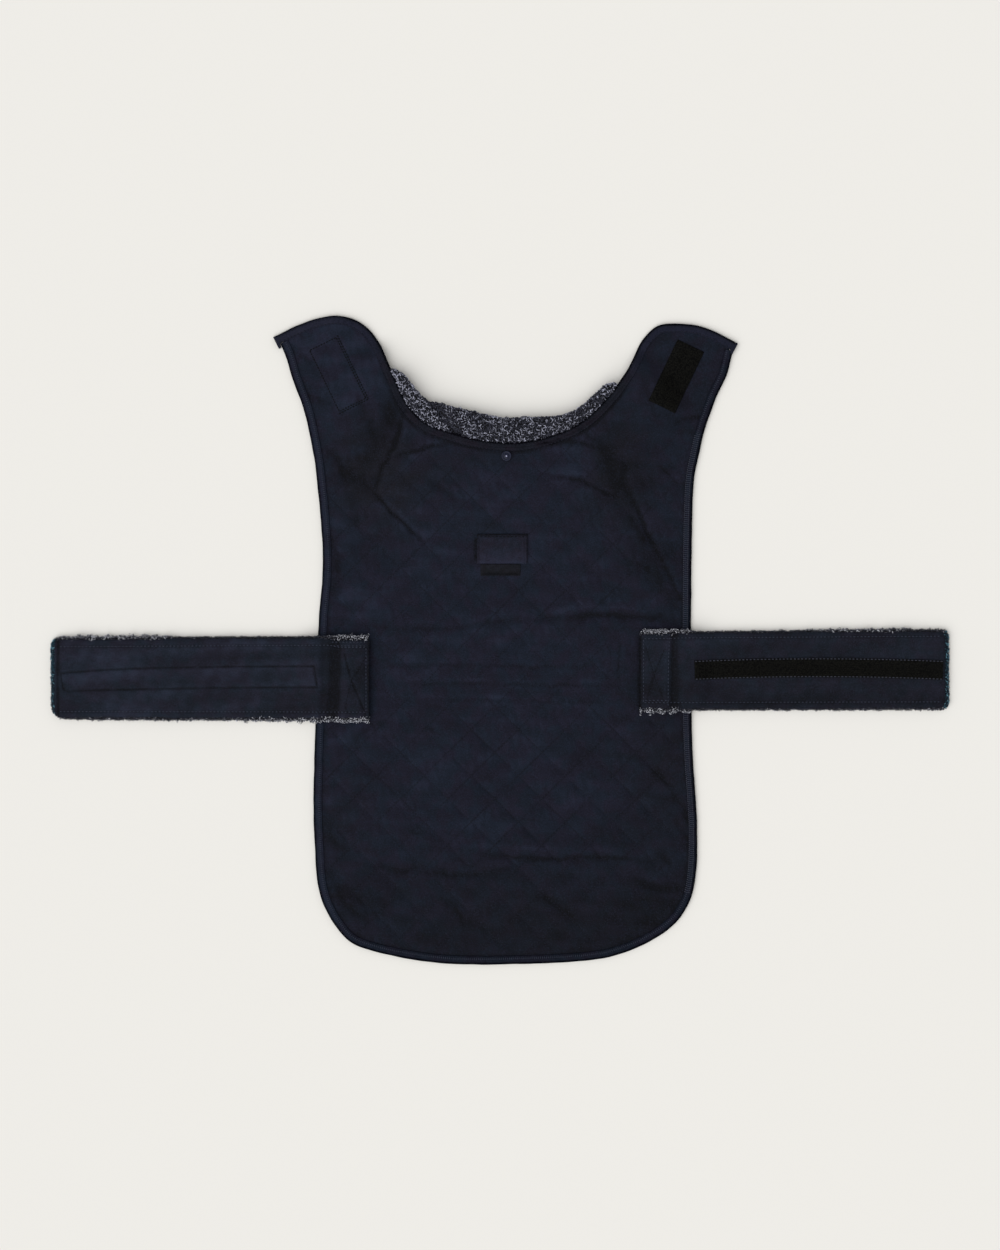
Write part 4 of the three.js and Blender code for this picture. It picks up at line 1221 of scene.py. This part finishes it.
# Upper face of a strap's lining, with its stitching drawn in
def strapTop(key, x, y):
    side = straps[key]
    top, bottom = strapEdges(side, x)
    outward = outwardOf(side)
    fromLong = np.minimum(top - y, y - bottom)
    fromFree = outward * (side["free"]["x"] - x)
    fromSewn = outward * (x - side["sewn"]["x"])
    height = strapBase(side, x) + pileThickness(side, x) + strap["gap"] + strap["lining"]
    groove = bell(fromTopstitch(side, x, y), sunk["halfWidth"]) * smoothstep(3, 6, fromFree)
    groove = np.maximum(groove, bell(fromSewn - 2.6, sunk["halfWidth"]))
    for seam, dark in strapLines[key]["seams"]:
        distance = nearestOn(smoothPath(seam, 6), x, y)[0]
        groove = np.maximum(groove, min(1, 2.2 * dark) * bell(distance, sunk["halfWidth"]))
    height = height - strapFolds(key, x, y)[0]
    swell = 0.5 * smoothstep(0, 5, fromLong) + 0.25 * uneven(x, y, 34, 31) + 0.12 * uneven(x, y * 2, 12, 33)
    puckers = 0.12 * bell(fromTopstitch(side, x, y), 4) * uneven(x, y * 0.3, 7, 35)
    rolled = 0.9 * (1 - smoothstep(0, 1.8, np.minimum(fromLong, np.minimum(fromFree, fromSewn))))
    return height + swell + puckers - sunk["groove"] * groove - rolled


# How far a rounded corner draws an edge in, by the distance from the end
def cornerInset(corner, fromEnd):
    rounded = corner - np.sqrt(np.maximum(corner**2 - (corner - fromEnd) ** 2, 0))
    return np.where(fromEnd < corner, rounded, 0)


# A strap's lining, the side that faces up
def makeStrapLining(key):
    side = straps[key]

    def place(u, v):
        x = side["sewn"]["x"] + u * (side["free"]["x"] - side["sewn"]["x"])
        top, bottom = strapEdges(side, x)
        middle, half = (top + bottom) / 2, (top - bottom) / 2
        fromFree = abs(side["free"]["x"] - x)
        inset = cornerInset(strap["corner"], fromFree)
        wander = 0.35 * uneven(x, 0 * x, 40, 37) + 0.2 * uneven(x, 0 * x, 13, 38)
        atEdge = np.sign(v - 0.5) * smoothstep(0.3, 0.5, abs(v - 0.5))
        y = middle + (2 * v - 1) * (half - inset) + wander * atEdge
        return x, y, strapTop(key, x, y)

    piece = gridPiece("strap_" + key + "_twill", 270, 74, place)
    if key == "left":
        editSelected(piece, selectAllAndFlip)
    thicken(piece, 1.2)
    smoothShade(piece)
    x, y, _ = getPlaces(piece).T
    pointAttribute(piece, "napAndPaintedShade", strapNapAndShade(key, x, y))
    finishPiece(piece, "strapTwill", ["strap_" + key + "_lining"])
    print("strap lining", key)


# How full the pile stands along each long edge: x, fullness
pileEdges = {
    "left": {
        "top": [(-378, 0.9), (-330, 1), (-286, 0.85), (-270, 0.25), (-165, 0.15), (-146, 0.3), (-136, 1),
                (-110, 1)],
        "bottom": [(-378, 0.15), (-362, 0.3), (-350, 0.6), (-236, 0.75), (-200, 1.0), (-150, 1.15),
                   (-110, 1.3)],
    },
    "right": {
        "top": [(119, 1), (141, 1), (158, 0.85), (166, 0.2), (250, 0.3), (262, 0.7), (344, 0.75), (352, 0.4),
                (378, 0.4)],
        "bottom": [(119, 1.2), (156, 1.1), (163, 0.35), (330, 0.42), (378, 0.5)],
    },
}
pile = {"leastMargin": 0.9, "margin": 1.7, "tuft": 11}


def pileFullness(key, x, upper):
    rows = np.array(pileEdges[key]["top" if upper else "bottom"])
    return np.interp(x, rows[:, 0], rows[:, 1])


# Uneven tufts along an edge, from 0 between them to 1 at their middles
def tufts(distance, seed):
    warped = distance + 3.2 * uneven(distance, 0 * distance, 60, seed)
    return abs(np.sin(math.pi * warped / pile["tuft"])) ** 0.8


# The strap's outer cloth: a curly pile, seen only as a rim past the lining
def makeStrapPile(key):
    side = straps[key]
    outward = outwardOf(side)
    seeds = (51, 52) if key == "left" else (53, 54)
    sewnX = side["sewn"]["x"] + outward * 0.4
    freeX = side["free"]["x"] + outward * (side["endMargin"] - 1.2)

    def margins(x, upper):
        full = pileFullness(key, x, upper)
        seed = seeds[0] if upper else seeds[1]
        kept = 0.6 * nipAt(side, x) if upper else 0
        return kept + pile["leastMargin"] + pile["margin"] * full * (0.35 + 0.65 * tufts(x, seed))

    def place(u, v):
        x = sewnX + u * (freeX - sewnX)
        top, bottom = strapEdges(side, x)
        fromFree = abs(freeX - x)
        insets = [cornerInset(corner, fromFree) for corner in side["corners"]]
        high, low = top + margins(x, True) - insets[0], bottom - margins(x, False) + insets[1]
        edged = 0.5 - 0.5 * np.cos(math.pi * v)
        y = low + (0.35 * v + 0.65 * edged) * (high - low)
        fromRim = np.minimum(np.minimum(high - y, y - low), np.minimum(abs(x - sewnX), fromFree))
        bulge = np.sqrt(np.clip(1 - (1 - np.clip(fromRim / 3.2, 0, 1)) ** 2, 0, 1))
        lumps = 0.35 * uneven(x, y, 7, 57) * smoothstep(0.5, 2.5, fromRim)
        under = smoothstep(3.4, 6.5, fromRim)
        z = strapBase(side, x) + 0.5 + (pileThickness(side, x) - 0.5) * bulge + lumps * (1 - under)
        z = np.minimum(z, strapBase(side, x) + pileThickness(side, x) + (0.3 - 0.25 * under))
        pressed = np.maximum(strapFolds(key, x, y)[0], 0) * smoothstep(1, 5, fromRim)
        return x, y, np.maximum(z - pressed, strapBase(side, x) + 0.4)

    piece = gridPiece("strap_" + key + "_boucle", 300, 56, place)
    if key == "left":
        editSelected(piece, selectAllAndFlip)
    upper = len(piece.data.vertices)
    thicken(piece, 1.5)
    places = getPlaces(piece)
    places[upper:, 2] = strapBase(side, places[upper:, 0]) + 0.06
    setPlaces(piece, places)
    smoothShade(piece, 80)
    finishPiece(piece, "pile", ["strap_" + key + "_pile"])
    piece.data.materials.append(finishes["tealPile"])
    tealFrom = (abs(side["free"]["x"]) - 1) * mm
    atEnd = [int(outward * polygon.center.x > tealFrom) for polygon in piece.data.polygons]
    piece.data.polygons.foreach_set("material_index", atEnd)

    def visible(centres):
        x, y, z = centres.T
        top, bottom = strapEdges(side, x)
        beside = np.maximum(y - top, bottom - y)
        past = outward * (x - side["free"]["x"])
        before = outward * (side["sewn"]["x"] - x)
        rim = (np.maximum(beside, past) > -1.4) & (before < -0.5)
        return np.where(rim & (z > strapBase(side, x) + 0.6), 1.0, 0.0)

    spots, normals = evenSpots(piece, 1.5, visible)
    x, y, z = spots.T
    top, bottom = strapEdges(side, x)
    upperSide = y > (top + bottom) / 2
    full = np.where(upperSide, pileFullness(key, x, True), pileFullness(key, x, False))
    atFree = outward * (x - side["free"]["x"]) > -1
    tuft = np.where(upperSide, tufts(x, seeds[0]), tufts(x, seeds[1]))
    beyond = np.maximum(y - top, bottom - y)
    light = 0.56 * full**2 * (0.35 + 0.65 * tuft) + 0.13 * full * np.clip(beyond, 0, 3)
    # painted light: the upper and lower rims of each strap lit by their own amounts
    light = light * np.where(upperSide, *side["pileLight"])
    light = np.where(atFree, side["endLight"], light)
    shades = np.clip(light + 0.3 * dice.normal(size=len(x)), 0, 1)
    sizes = dice.uniform(0.55, 0.95, len(x)) * (0.8 + 0.3 * np.clip(full, 0, 1))
    outwards = np.column_stack([
        np.where(atFree, outward, 0), np.where(atFree, 0, np.where(upperSide, 1.0, -1.0)), 0 * x])
    atRim = (beyond > -1) | atFree
    normals = unit(normals + 0.8 * outwards * atRim[:, None])
    curls = growCurls("strap_" + key + "_curls", spots[~atFree], normals[~atFree], sizes[~atFree],
                      shades[~atFree], "rimPile")
    ends = growCurls("strap_" + key + "_end_curls", spots[atFree], normals[atFree], sizes[atFree],
                     shades[atFree], "tealPile")
    loose = growStrands("strap_" + key + "_strands", key, margins)


# Loose strands of the pile that stand out past its rim, in clumps
def growStrands(name, key, margins):
    side = straps[key]
    length = abs(side["free"]["x"] - side["sewn"]["x"])
    rows = []
    for upper, seed in ((True, 71), (False, 72)):
        count = round(length / strand["each"])
        x = side["sewn"]["x"] + dice.random(count) * (side["free"]["x"] - side["sewn"]["x"])
        full = pileFullness(key, x, upper)
        clumps = smoothstep(-0.5, 0.6, uneven(x, 0 * x, 9, seed) + 0.5 * uneven(x, 0 * x, 3.5, seed + 2))
        grown = dice.random(count) < full * (0.3 + 0.7 * clumps)
        x, full, clumps = x[grown], full[grown], clumps[grown]
        top, bottom = strapEdges(side, x)
        past = margins(x, upper) + (strand["spread"] * dice.normal(size=len(x)) + 0.9 * clumps - 0.6) * full
        y = top + past if upper else bottom - past
        z = strapBase(side, x) + dice.uniform(1.2, 0.8 + pileThickness(side, x))
        rows.append(np.column_stack([x, y, z, np.full(len(x), 1.0 if upper else -1.0), clumps * full**1.5]))
    x, y, z, outwards, clumps = np.concatenate(rows).T
    normals = unit(np.column_stack([0.3 * dice.normal(size=len(x)), outwards, 0.4 + 0 * x]))
    shades = np.clip(0.34 + 0.6 * clumps + 0.25 * dice.normal(size=len(x)), 0, 1)
    return growCurls(name, np.column_stack([x, y, z]), normals, dice.uniform(0.7, 1.25, len(x)), shades,
                     "rimPile", strand)


for key in straps:
    makeStrapLining(key)
    makeStrapPile(key)

thread = {"length": 2.3, "width": 0.42, "height": 0.34, "pitch": 3.1}


def makeStitchTemplate(width, length):
    deselectAll()
    bpy.ops.mesh.primitive_ico_sphere_add(subdivisions=1, radius=0.5 * mm)
    stitch = bpy.context.object
    x, y, z = getPlaces(stitch).T
    setPlaces(stitch, np.column_stack([x * length, y * width * 2.2, z * thread["height"] * 2.2]))
    return stitch


# Stitches along lines on a surface
def sew(name, lines, height, finish, width=thread["width"], raised=0.1, keep=None, pitch=None):
    stitches = [lineStitches(line, pitch or thread["pitch"]) for line in lines]
    placed = [np.concatenate(column) for column in zip(*stitches)]
    return sewAt(name, placed, height, finish, width, raised, keep)


# Stitches at given places, each with its own direction: x, y, dx, dy
def sewAt(name, placed, height, finish, width=thread["width"], raised=0.1, keep=None,
          length=thread["length"]):
    x, y, dx, dy = placed
    if keep is not None:
        kept = keep(x, y)
        x, y, dx, dy = x[kept], y[kept], dx[kept], dy[kept]
    count = len(x)
    z, ahead = height(x, y), height(x + dx, y + dy)
    behind = height(x - dx, y - dy)
    aheads = unit(np.column_stack([2 * dx, 2 * dy, ahead - behind]))
    ups = unit(np.column_stack([0 * x, 0 * x, 1 + 0 * x]))
    sides = unit(np.cross(ups, aheads))
    ups = np.cross(aheads, sides)
    template = makeStitchTemplate(width, length)
    places = np.column_stack([x, y, z + raised])
    piece = scatter(name, template, places, sides, aheads, ups, dice.uniform(0.92, 1.08, count),
                    dice.random(count))
    bpy.data.objects.remove(template)
    finishPiece(piece, finish)
    print(name + ":", count, "stitches")
    return piece


def lineStitches(line, pitch):
    length = pathLength(line)
    count = max(2, round(length / pitch))
    distance = (np.arange(count) + 0.5) * length / count
    return alongPath(line, distance)


# Moves a path sideways, to its right by a positive distance
def besidePath(path, distance):
    slope = np.gradient(path, axis=0)
    slope /= np.hypot(slope[:, 0], slope[:, 1])[:, None]
    return path + distance * np.column_stack([slope[:, 1], -slope[:, 0]])


def quiltLines():
    lines = []
    (aFrom, aTo), (bFrom, bTo) = panel["cellsA"], panel["cellsB"]
    for level in range(min(aFrom, bFrom), max(aTo, bTo) + 1):
        if aFrom <= level <= aTo:
            lines.append(latticeLine(np.array([level, level]), np.array([bFrom, bTo])))
        if bFrom <= level <= bTo:
            lines.append(latticeLine(np.array([aFrom, aTo]), np.array([level, level])))
    return lines


def latticeLine(a, b):
    return np.column_stack(quiltPlace(a, b))


def onOpenPanel(x, y):
    edgeGap = fromOutline(x, y)
    bare = insideOutline(x, y) & (edgeGap > binding["width"] + 1.2)
    for name in ("neckHook", "leashFlap", "leashTape", "neckStud"):
        bare &= outsidePatch(patches[name], x, y) > 0.8
    return bare & (strapShadow(x, y) > 0.02) & (quiltShare(x, y) > 0.12)


sew("quilt_stitches", quiltLines(), panelTop, "thread", width=0.36, raised=-0.06,
    keep=onOpenPanel)


def patchCorners(patch, inset):
    turn = math.radians(patch["turn"])
    halfW, halfL = patch["size"][0] / 2 - inset, patch["size"][1] / 2 - inset
    corners = []
    for i, j in ((-1, -1), (1, -1), (1, 1), (-1, 1), (-1, -1)):
        across, along = i * halfW, j * halfL
        corners.append((patch["centre"][0] + across * math.cos(turn) - along * math.sin(turn),
                        patch["centre"][1] + across * math.sin(turn) + along * math.cos(turn)))
    return [np.array(pair) for pair in zip(corners[:-1], corners[1:])]


boxSides = patchCorners(patches["neckLoop"], 0) + patchCorners(patches["neckLoop"], -1.7)[:2]
sew("tab_box_stitches", boxSides, panelTop, "darkThread", width=0.6, raised=0.06, pitch=2.5)


def bindingTop(x, y):
    fromEdge = np.minimum(nearestOn(topEdge[::2], x, y)[0], nearestOn(sideEdge[::2], x, y)[0])
    return liftAt(x, y) + np.interp(fromEdge, *zip(*bindingUpper)) - 0.12


# The overlocked row on the side binding: close rungs across it
def rungs(path, row, pitch):
    x, y, dx, dy = lineStitches(besidePath(path, -row), pitch)
    lean = dice.uniform(-0.25, 0.25, len(x))
    return x, y, -dy + lean * dx, dx + lean * dy


overlock = {"row": 5.1, "pitch": 1.75, "length": 4.4, "width": 0.36, "knotRows": (3.3, 6.8),
            "knot": (0.5, 1.2), "paleFrom": 100, "paleY": (-215, 175)}


def onPaleSide(x, y):
    low, high = overlock["paleY"]
    return (x > overlock["paleFrom"]) & (y > low) & (y < high)


def offPaleSide(x, y):
    return ~onPaleSide(x, y)


edgeRungs = rungs(sideRun, overlock["row"], overlock["pitch"])
sewAt("side_edge_stitches", edgeRungs, bindingTop, "strapThread", overlock["width"], 0.06,
      onPaleSide, overlock["length"])
knotRows = [lineStitches(besidePath(sideRun, -row), overlock["pitch"]) for row in overlock["knotRows"]]
knotWidth, knotLength = overlock["knot"]
sewAt("side_edge_knots", [np.concatenate(column) for column in zip(*knotRows)], bindingTop, "paleThread",
      knotWidth, 0.1, onPaleSide, knotLength)
sewAt("hem_edge_stitches", edgeRungs, bindingTop, "strapThread", 0.34, 0.02, offPaleSide)
neckLines = [besidePath(topEdge, row) for row in (2.3, binding["stitchRows"][1] + 0.6)]
sew("neck_edge_stitches", neckLines, bindingTop, "thread", raised=0.02)


def topstitchLines(key):
    side = straps[key]
    outward = outwardOf(side)
    start, stop = side["sewn"]["x"] + outward * 2.6, side["free"]["x"] - outward * 4
    x = np.linspace(start, stop, 60)
    top, bottom = strapEdges(side, x)
    top, bottom = top - side["topstitch"][0], bottom + side["topstitch"][1]
    lines = [np.column_stack([x, top]), np.column_stack([x, bottom]),
             np.array([(start, top[0]), (start, bottom[0])])]
    return lines + [smoothPath(row, 4) for row in strapLines[key]["pale"]]


def topOf(key):
    def top(x, y):
        return strapTop(key, x, y)

    return top


for key in straps:
    seams = [smoothPath(seam, 4) for seam, dark in strapLines[key]["seams"]]
    sew("strap_" + key + "_stitches", seams, topOf(key), "darkThread", width=0.3, raised=-0.08)
    sew("strap_" + key + "_topstitches", topstitchLines(key), topOf(key), "strapThread",
        width=0.4, raised=0.08)

hooks = {"spacing": 1.7, "ring": 0.42, "wire": 0.13}


def makeHookTemplate():
    deselectAll()
    bpy.ops.mesh.primitive_torus_add(
        major_segments=6, minor_segments=3, major_radius=hooks["ring"] * mm, minor_radius=hooks["wire"] * mm)
    ring = bpy.context.object
    x, y, z = getPlaces(ring).T
    setPlaces(ring, np.column_stack([x * 0.8, z, y * 1.3 + 0.3]))
    return ring


# Hook tape: a woven strip that follows the cloth, with rows of small nylon hooks
def makeTape(name, node, spine, width, height, thickness):
    length = pathLength(spine)

    def at(u, v):
        x, y, alongX, alongY = alongPath(spine, u * length)
        across = (v - 0.5) * width
        return x - alongY * across, y + alongX * across, alongX, alongY

    def place(u, v):
        x, y, _, _ = at(u, v)
        edge = np.minimum(np.minimum(v, 1 - v) * width, np.minimum(u, 1 - u) * length)
        selvedge = 0.35 * bell(edge - 1.6, 0.5) + 0.9 * (1 - smoothstep(0, 1.2, edge))
        return x, y, height(x, y) + 0.25 + thickness - selvedge + 0.06 * uneven(x, y, 5, 61)

    piece = gridPiece(name, round(length / 1.2), max(8, round(width / 0.9)), place)
    thicken(piece, thickness)
    smoothShade(piece)
    finishPiece(piece, "hook", [node])
    columns, rows = int((length - 5) / hooks["spacing"]), int((width - 5) / hooks["spacing"])
    i, j = [column.ravel().astype(float) for column in np.meshgrid(np.arange(columns), np.arange(rows))]
    u = (2.5 + (i + 0.5 * (j % 2)) * hooks["spacing"]) / length + dice.normal(size=len(i)) * 0.2 / length
    v = (2.5 + j * hooks["spacing"]) / width + dice.normal(size=len(i)) * 0.15 / width
    x, y, alongX, alongY = at(u, v)
    zero, one = 0 * x, 0 * x + 1
    ups = unit(np.column_stack([0.25 * dice.normal(size=len(x)), 0.25 * dice.normal(size=len(x)), one]))
    aheads = unit(np.cross(np.column_stack([-alongY, alongX, zero]), ups))
    sides = np.cross(ups, aheads)
    template = makeHookTemplate()
    places = np.column_stack([x, y, height(x, y) + 0.25 + thickness])
    hooked = scatter(name + "_hooks", template, places, sides, aheads, ups, dice.uniform(0.85, 1.2, len(x)),
                     dice.random(len(x)))
    bpy.data.objects.remove(template)
    finishPiece(hooked, "hooks")
    print(name + ":", len(x), "hooks")


# Middle line of the belly tape, bowed a little upwards
def bellyPoint(x):
    offMiddle = (x - hookTape["middle"]) / hookTape["halfLength"]
    return x, hookTape["y"] + hookTape["bow"] * (1 - offMiddle**2)


bellySpine = smoothPath([bellyPoint(x) for x in np.linspace(hookTape["from"], hookTape["to"], 9)], 2)
makeTape("belly_hooks_tape", "belly_hook_tape", bellySpine, hookTape["width"],
         topOf("right"), hookTape["thickness"])

tabPatch = patches["neckHook"]
tabTurn = math.radians(tabPatch["turn"])
tabReach = tabPatch["size"][1] / 2
tabSpine = np.array([
    (tabPatch["centre"][0] - s * math.sin(tabTurn), tabPatch["centre"][1] + s * math.cos(tabTurn))
    for s in np.linspace(-tabReach, tabReach, 30)])
makeTape("tab_hooks_tape", "neck_hook_tape", tabSpine, tabPatch["size"][0], panelTop, 1.2)

flap = {"gap": 0.3, "thickness": 1.4, "dome": 0.5, "hem": 2.2}


# The flap bulges towards its open lower edge
def flapDome(u, v):
    return flap["dome"] * (1 - v) ** 1.5 * np.sin(math.pi * np.clip(u, 0, 1)) ** 0.5


# Leash opening: a small flap of lining over a dark woven slot
def makeLeashOpening():
    patch = patches["leashFlap"]
    width, depth = patch["size"]

    def place(u, v):
        x, y = patch["centre"][0] + (u - 0.5) * width, patch["centre"][1] + (v - 0.5) * depth
        edge = np.minimum(np.minimum(u, 1 - u) * width, (1 - v) * depth)
        groove = 0.6 * bell(edge - flap["hem"], 0.7)
        dome = flapDome(u, v)
        rolled = 0.8 * (1 - smoothstep(0, 1.3, edge)) + 0.9 * (1 - smoothstep(0, 5, v * depth))
        height = panelTop(x, y) + flap["gap"] + flap["thickness"] + dome - groove - rolled
        return x, y, height + 0.12 * uneven(x, y, 11, 71)

    piece = gridPiece("leash_flap_twill", 64, 38, place)
    thicken(piece, 1.2)
    smoothShade(piece)
    x, y, _ = getPlaces(piece).T
    # painted light and shade on the flap: its lower half paler, dark lines along its left, right and top
    # edges, its lower edge paler
    low = smoothstep(patch["centre"][1] + 5, patch["centre"][1] - 7, y)
    fromLeft, fromRight = x - patch["centre"][0] + width / 2, patch["centre"][0] + width / 2 - x
    fromTop, fromLow = patch["centre"][1] + depth / 2 - y, y - patch["centre"][1] + depth / 2
    patchiness = 0.75 + 0.5 * uneven(x, y, 5, 76)
    dark = 0.4 * patchiness * bell(fromLeft, 1.1) + 0.34 * patchiness * bell(fromRight, 1.1)
    dark = dark + 0.5 * bell(fromTop, 1.5) - 0.1 * bell(fromLow, 2.5)
    pointAttribute(piece, "napAndPaintedShade", np.clip(0.4 + 0.2 * low - dark + 0.05 * uneven(x, y, 9, 75), 0, 1))
    finishPiece(piece, "flap", ["leash_flap"])

    slot = patches["leashTape"]

    def placeSlot(u, v):
        x = slot["centre"][0] + (u - 0.5) * slot["size"][0]
        y = slot["centre"][1] + (v - 0.5) * slot["size"][1]
        edge = np.minimum(np.minimum(u, 1 - u) * slot["size"][0], v * slot["size"][1])
        rolled = 0.6 * (1 - smoothstep(0, 1, edge))
        tuck = 0.7 * bell(v * slot["size"][1] - 1.6, 0.9)
        return x, y, panelTop(x, y) + 1.2 - rolled - tuck + 0.1 * uneven(x, y, 7, 73)

    piece = gridPiece("leash_slot_tape", 44, 14, placeSlot)
    thicken(piece, 0.9)
    smoothShade(piece)
    x, y, _ = getPlaces(piece).T
    # painted shade under the flap: a darker band low across the slot's middle
    up = y - (slot["centre"][1] - slot["size"][1] / 2)
    middle = smoothstep(18, 13, abs(x - slot["centre"][0]))
    darker = 0.45 * middle * bell(up - 1.6, 1.5) - 0.1 * uneven(x, y, 6, 77)
    pointAttribute(piece, "napAndPaintedShade", np.clip(0.56 - darker, 0, 1))
    finishPiece(piece, "slot", ["leash_tape"])
    print("leash opening made")


makeLeashOpening()


def flapTop(x, y):
    patch = patches["leashFlap"]
    u = (x - patch["centre"][0]) / patch["size"][0] + 0.5
    v = (y - patch["centre"][1]) / patch["size"][1] + 0.5
    return panelTop(x, y) + flap["gap"] + flap["thickness"] + flapDome(u, np.clip(v, 0, 1)) - 0.5


flapTopSide = patchCorners(patches["leashFlap"], flap["hem"])[2:3]
sew("leash_flap_stitches", flapTopSide, flapTop, "darkThread", width=0.3, raised=0.06)


def bellyTapeTop(x, y):
    return strapTop("right", x, y) + 0.25 + hookTape["thickness"] - 0.3


tapeRows = [besidePath(bellySpine, side * (hookTape["width"] / 2 - 0.7)) for side in (-1, 1)]
sew("belly_tape_stitches", tapeRows, bellyTapeTop, "paleThread", width=0.42, raised=0.08)

stud = {"radius": 4.1, "height": 1.5, "gap": 0.3, "rim": 1.0, "well": 0.7, "shelf": 0.8, "step": 0.5,
        "inner": 1.5, "point": 0.3, "bevel": 0.2, "pointRadius": 0.55}


# Press stud: a moulded cap with a raised rim and a small pip in its well
def makeStud():
    x, y = patches["neckStud"]["centre"]
    base = float(panelTop(np.array([x]), np.array([y]))[0]) + stud["gap"]
    deselectAll()
    bpy.ops.mesh.primitive_cylinder_add(
        vertices=40, radius=stud["radius"] * mm, depth=stud["height"] * mm,
        location=(x * mm, y * mm, (base + stud["height"] / 2) * mm))
    piece = bpy.context.object
    piece.name = piece.data.name = "neck_stud_cap"
    bpy.ops.object.transform_apply(location=True, rotation=True, scale=True)
    tops = [face.center.z > (base + stud["height"]) * mm - 1e-5 for face in piece.data.polygons]
    piece.data.vertices.foreach_set("select", [False] * len(piece.data.vertices))
    piece.data.edges.foreach_set("select", [False] * len(piece.data.edges))
    piece.data.polygons.foreach_set("select", tops)
    bpy.context.tool_settings.mesh_select_mode = (False, False, True)

    def steps():
        for inset, rise in (("rim", -stud["well"]), ("shelf", stud["step"]), ("inner", stud["point"])):
            bpy.ops.mesh.inset(thickness=stud[inset] * mm)
            bpy.ops.mesh.extrude_region_move(TRANSFORM_OT_translate={"value": (0, 0, rise * mm)})

    editSelected(piece, steps)
    applyModifier(piece, "BEVEL", width=stud["bevel"] * mm, segments=2, limit_method="ANGLE")
    smoothShade(piece, 40)
    finishPiece(piece, "stud", ["neck_stud"])
    piece.data.materials.append(finishes["post"])

    def bright(face):
        fromMiddle = math.hypot(face.center.x - x * mm, face.center.y - y * mm)
        return fromMiddle < stud["pointRadius"] * mm and face.normal.z > 0.5

    finishOf = [int(bright(face)) for face in piece.data.polygons]
    piece.data.polygons.foreach_set("material_index", finishOf)
    print("stud made")


makeStud()

for name in ("belly_loop_tape", "neck_loop_tape"):
    node = bpy.data.objects[name]
    node.data.materials.clear()
    node.data.materials.append(finishes["loop"])

# Floor and light: a pale paper floor under one large soft light from the lower left, and an even surround
studio = {"floor": "#e7e5e0", "surround": 0.5, "key": 2.22, "keyAngle": 74, "keyFrom": (-0.8, -0.8, 1.6)}


def addStudio():
    deselectAll()
    bpy.ops.mesh.primitive_plane_add(size=60, location=(0, 0, -0.0003))
    floor = bpy.context.object
    floor.name = "floor"
    material, shader = newMaterial("palePaper")
    paper = {"Base Color": linear(studio["floor"]), "Roughness": 0.95, "Specular IOR Level": 0}
    fillSockets(shader, paper)
    floor.data.materials.append(material)
    world = bpy.data.worlds.new("studio")
    world.use_nodes = True
    background = world.node_tree.nodes["Background"]
    background.inputs["Color"].default_value = (1, 1, 1, 1)
    background.inputs["Strength"].default_value = studio["surround"]
    bpy.context.scene.world = world
    deselectAll()
    bpy.ops.object.light_add(type="SUN", location=(-1, -1.3, 2))
    key = bpy.context.object
    key.data.energy = studio["key"]
    key.data.angle = math.radians(studio["keyAngle"])
    aim = -Vector(studio["keyFrom"])
    key.rotation_euler = aim.to_track_quat("-Z", "Y").to_euler()
    bpy.context.scene.view_settings.view_transform = "Standard"


addStudio()
print("floor and light set")
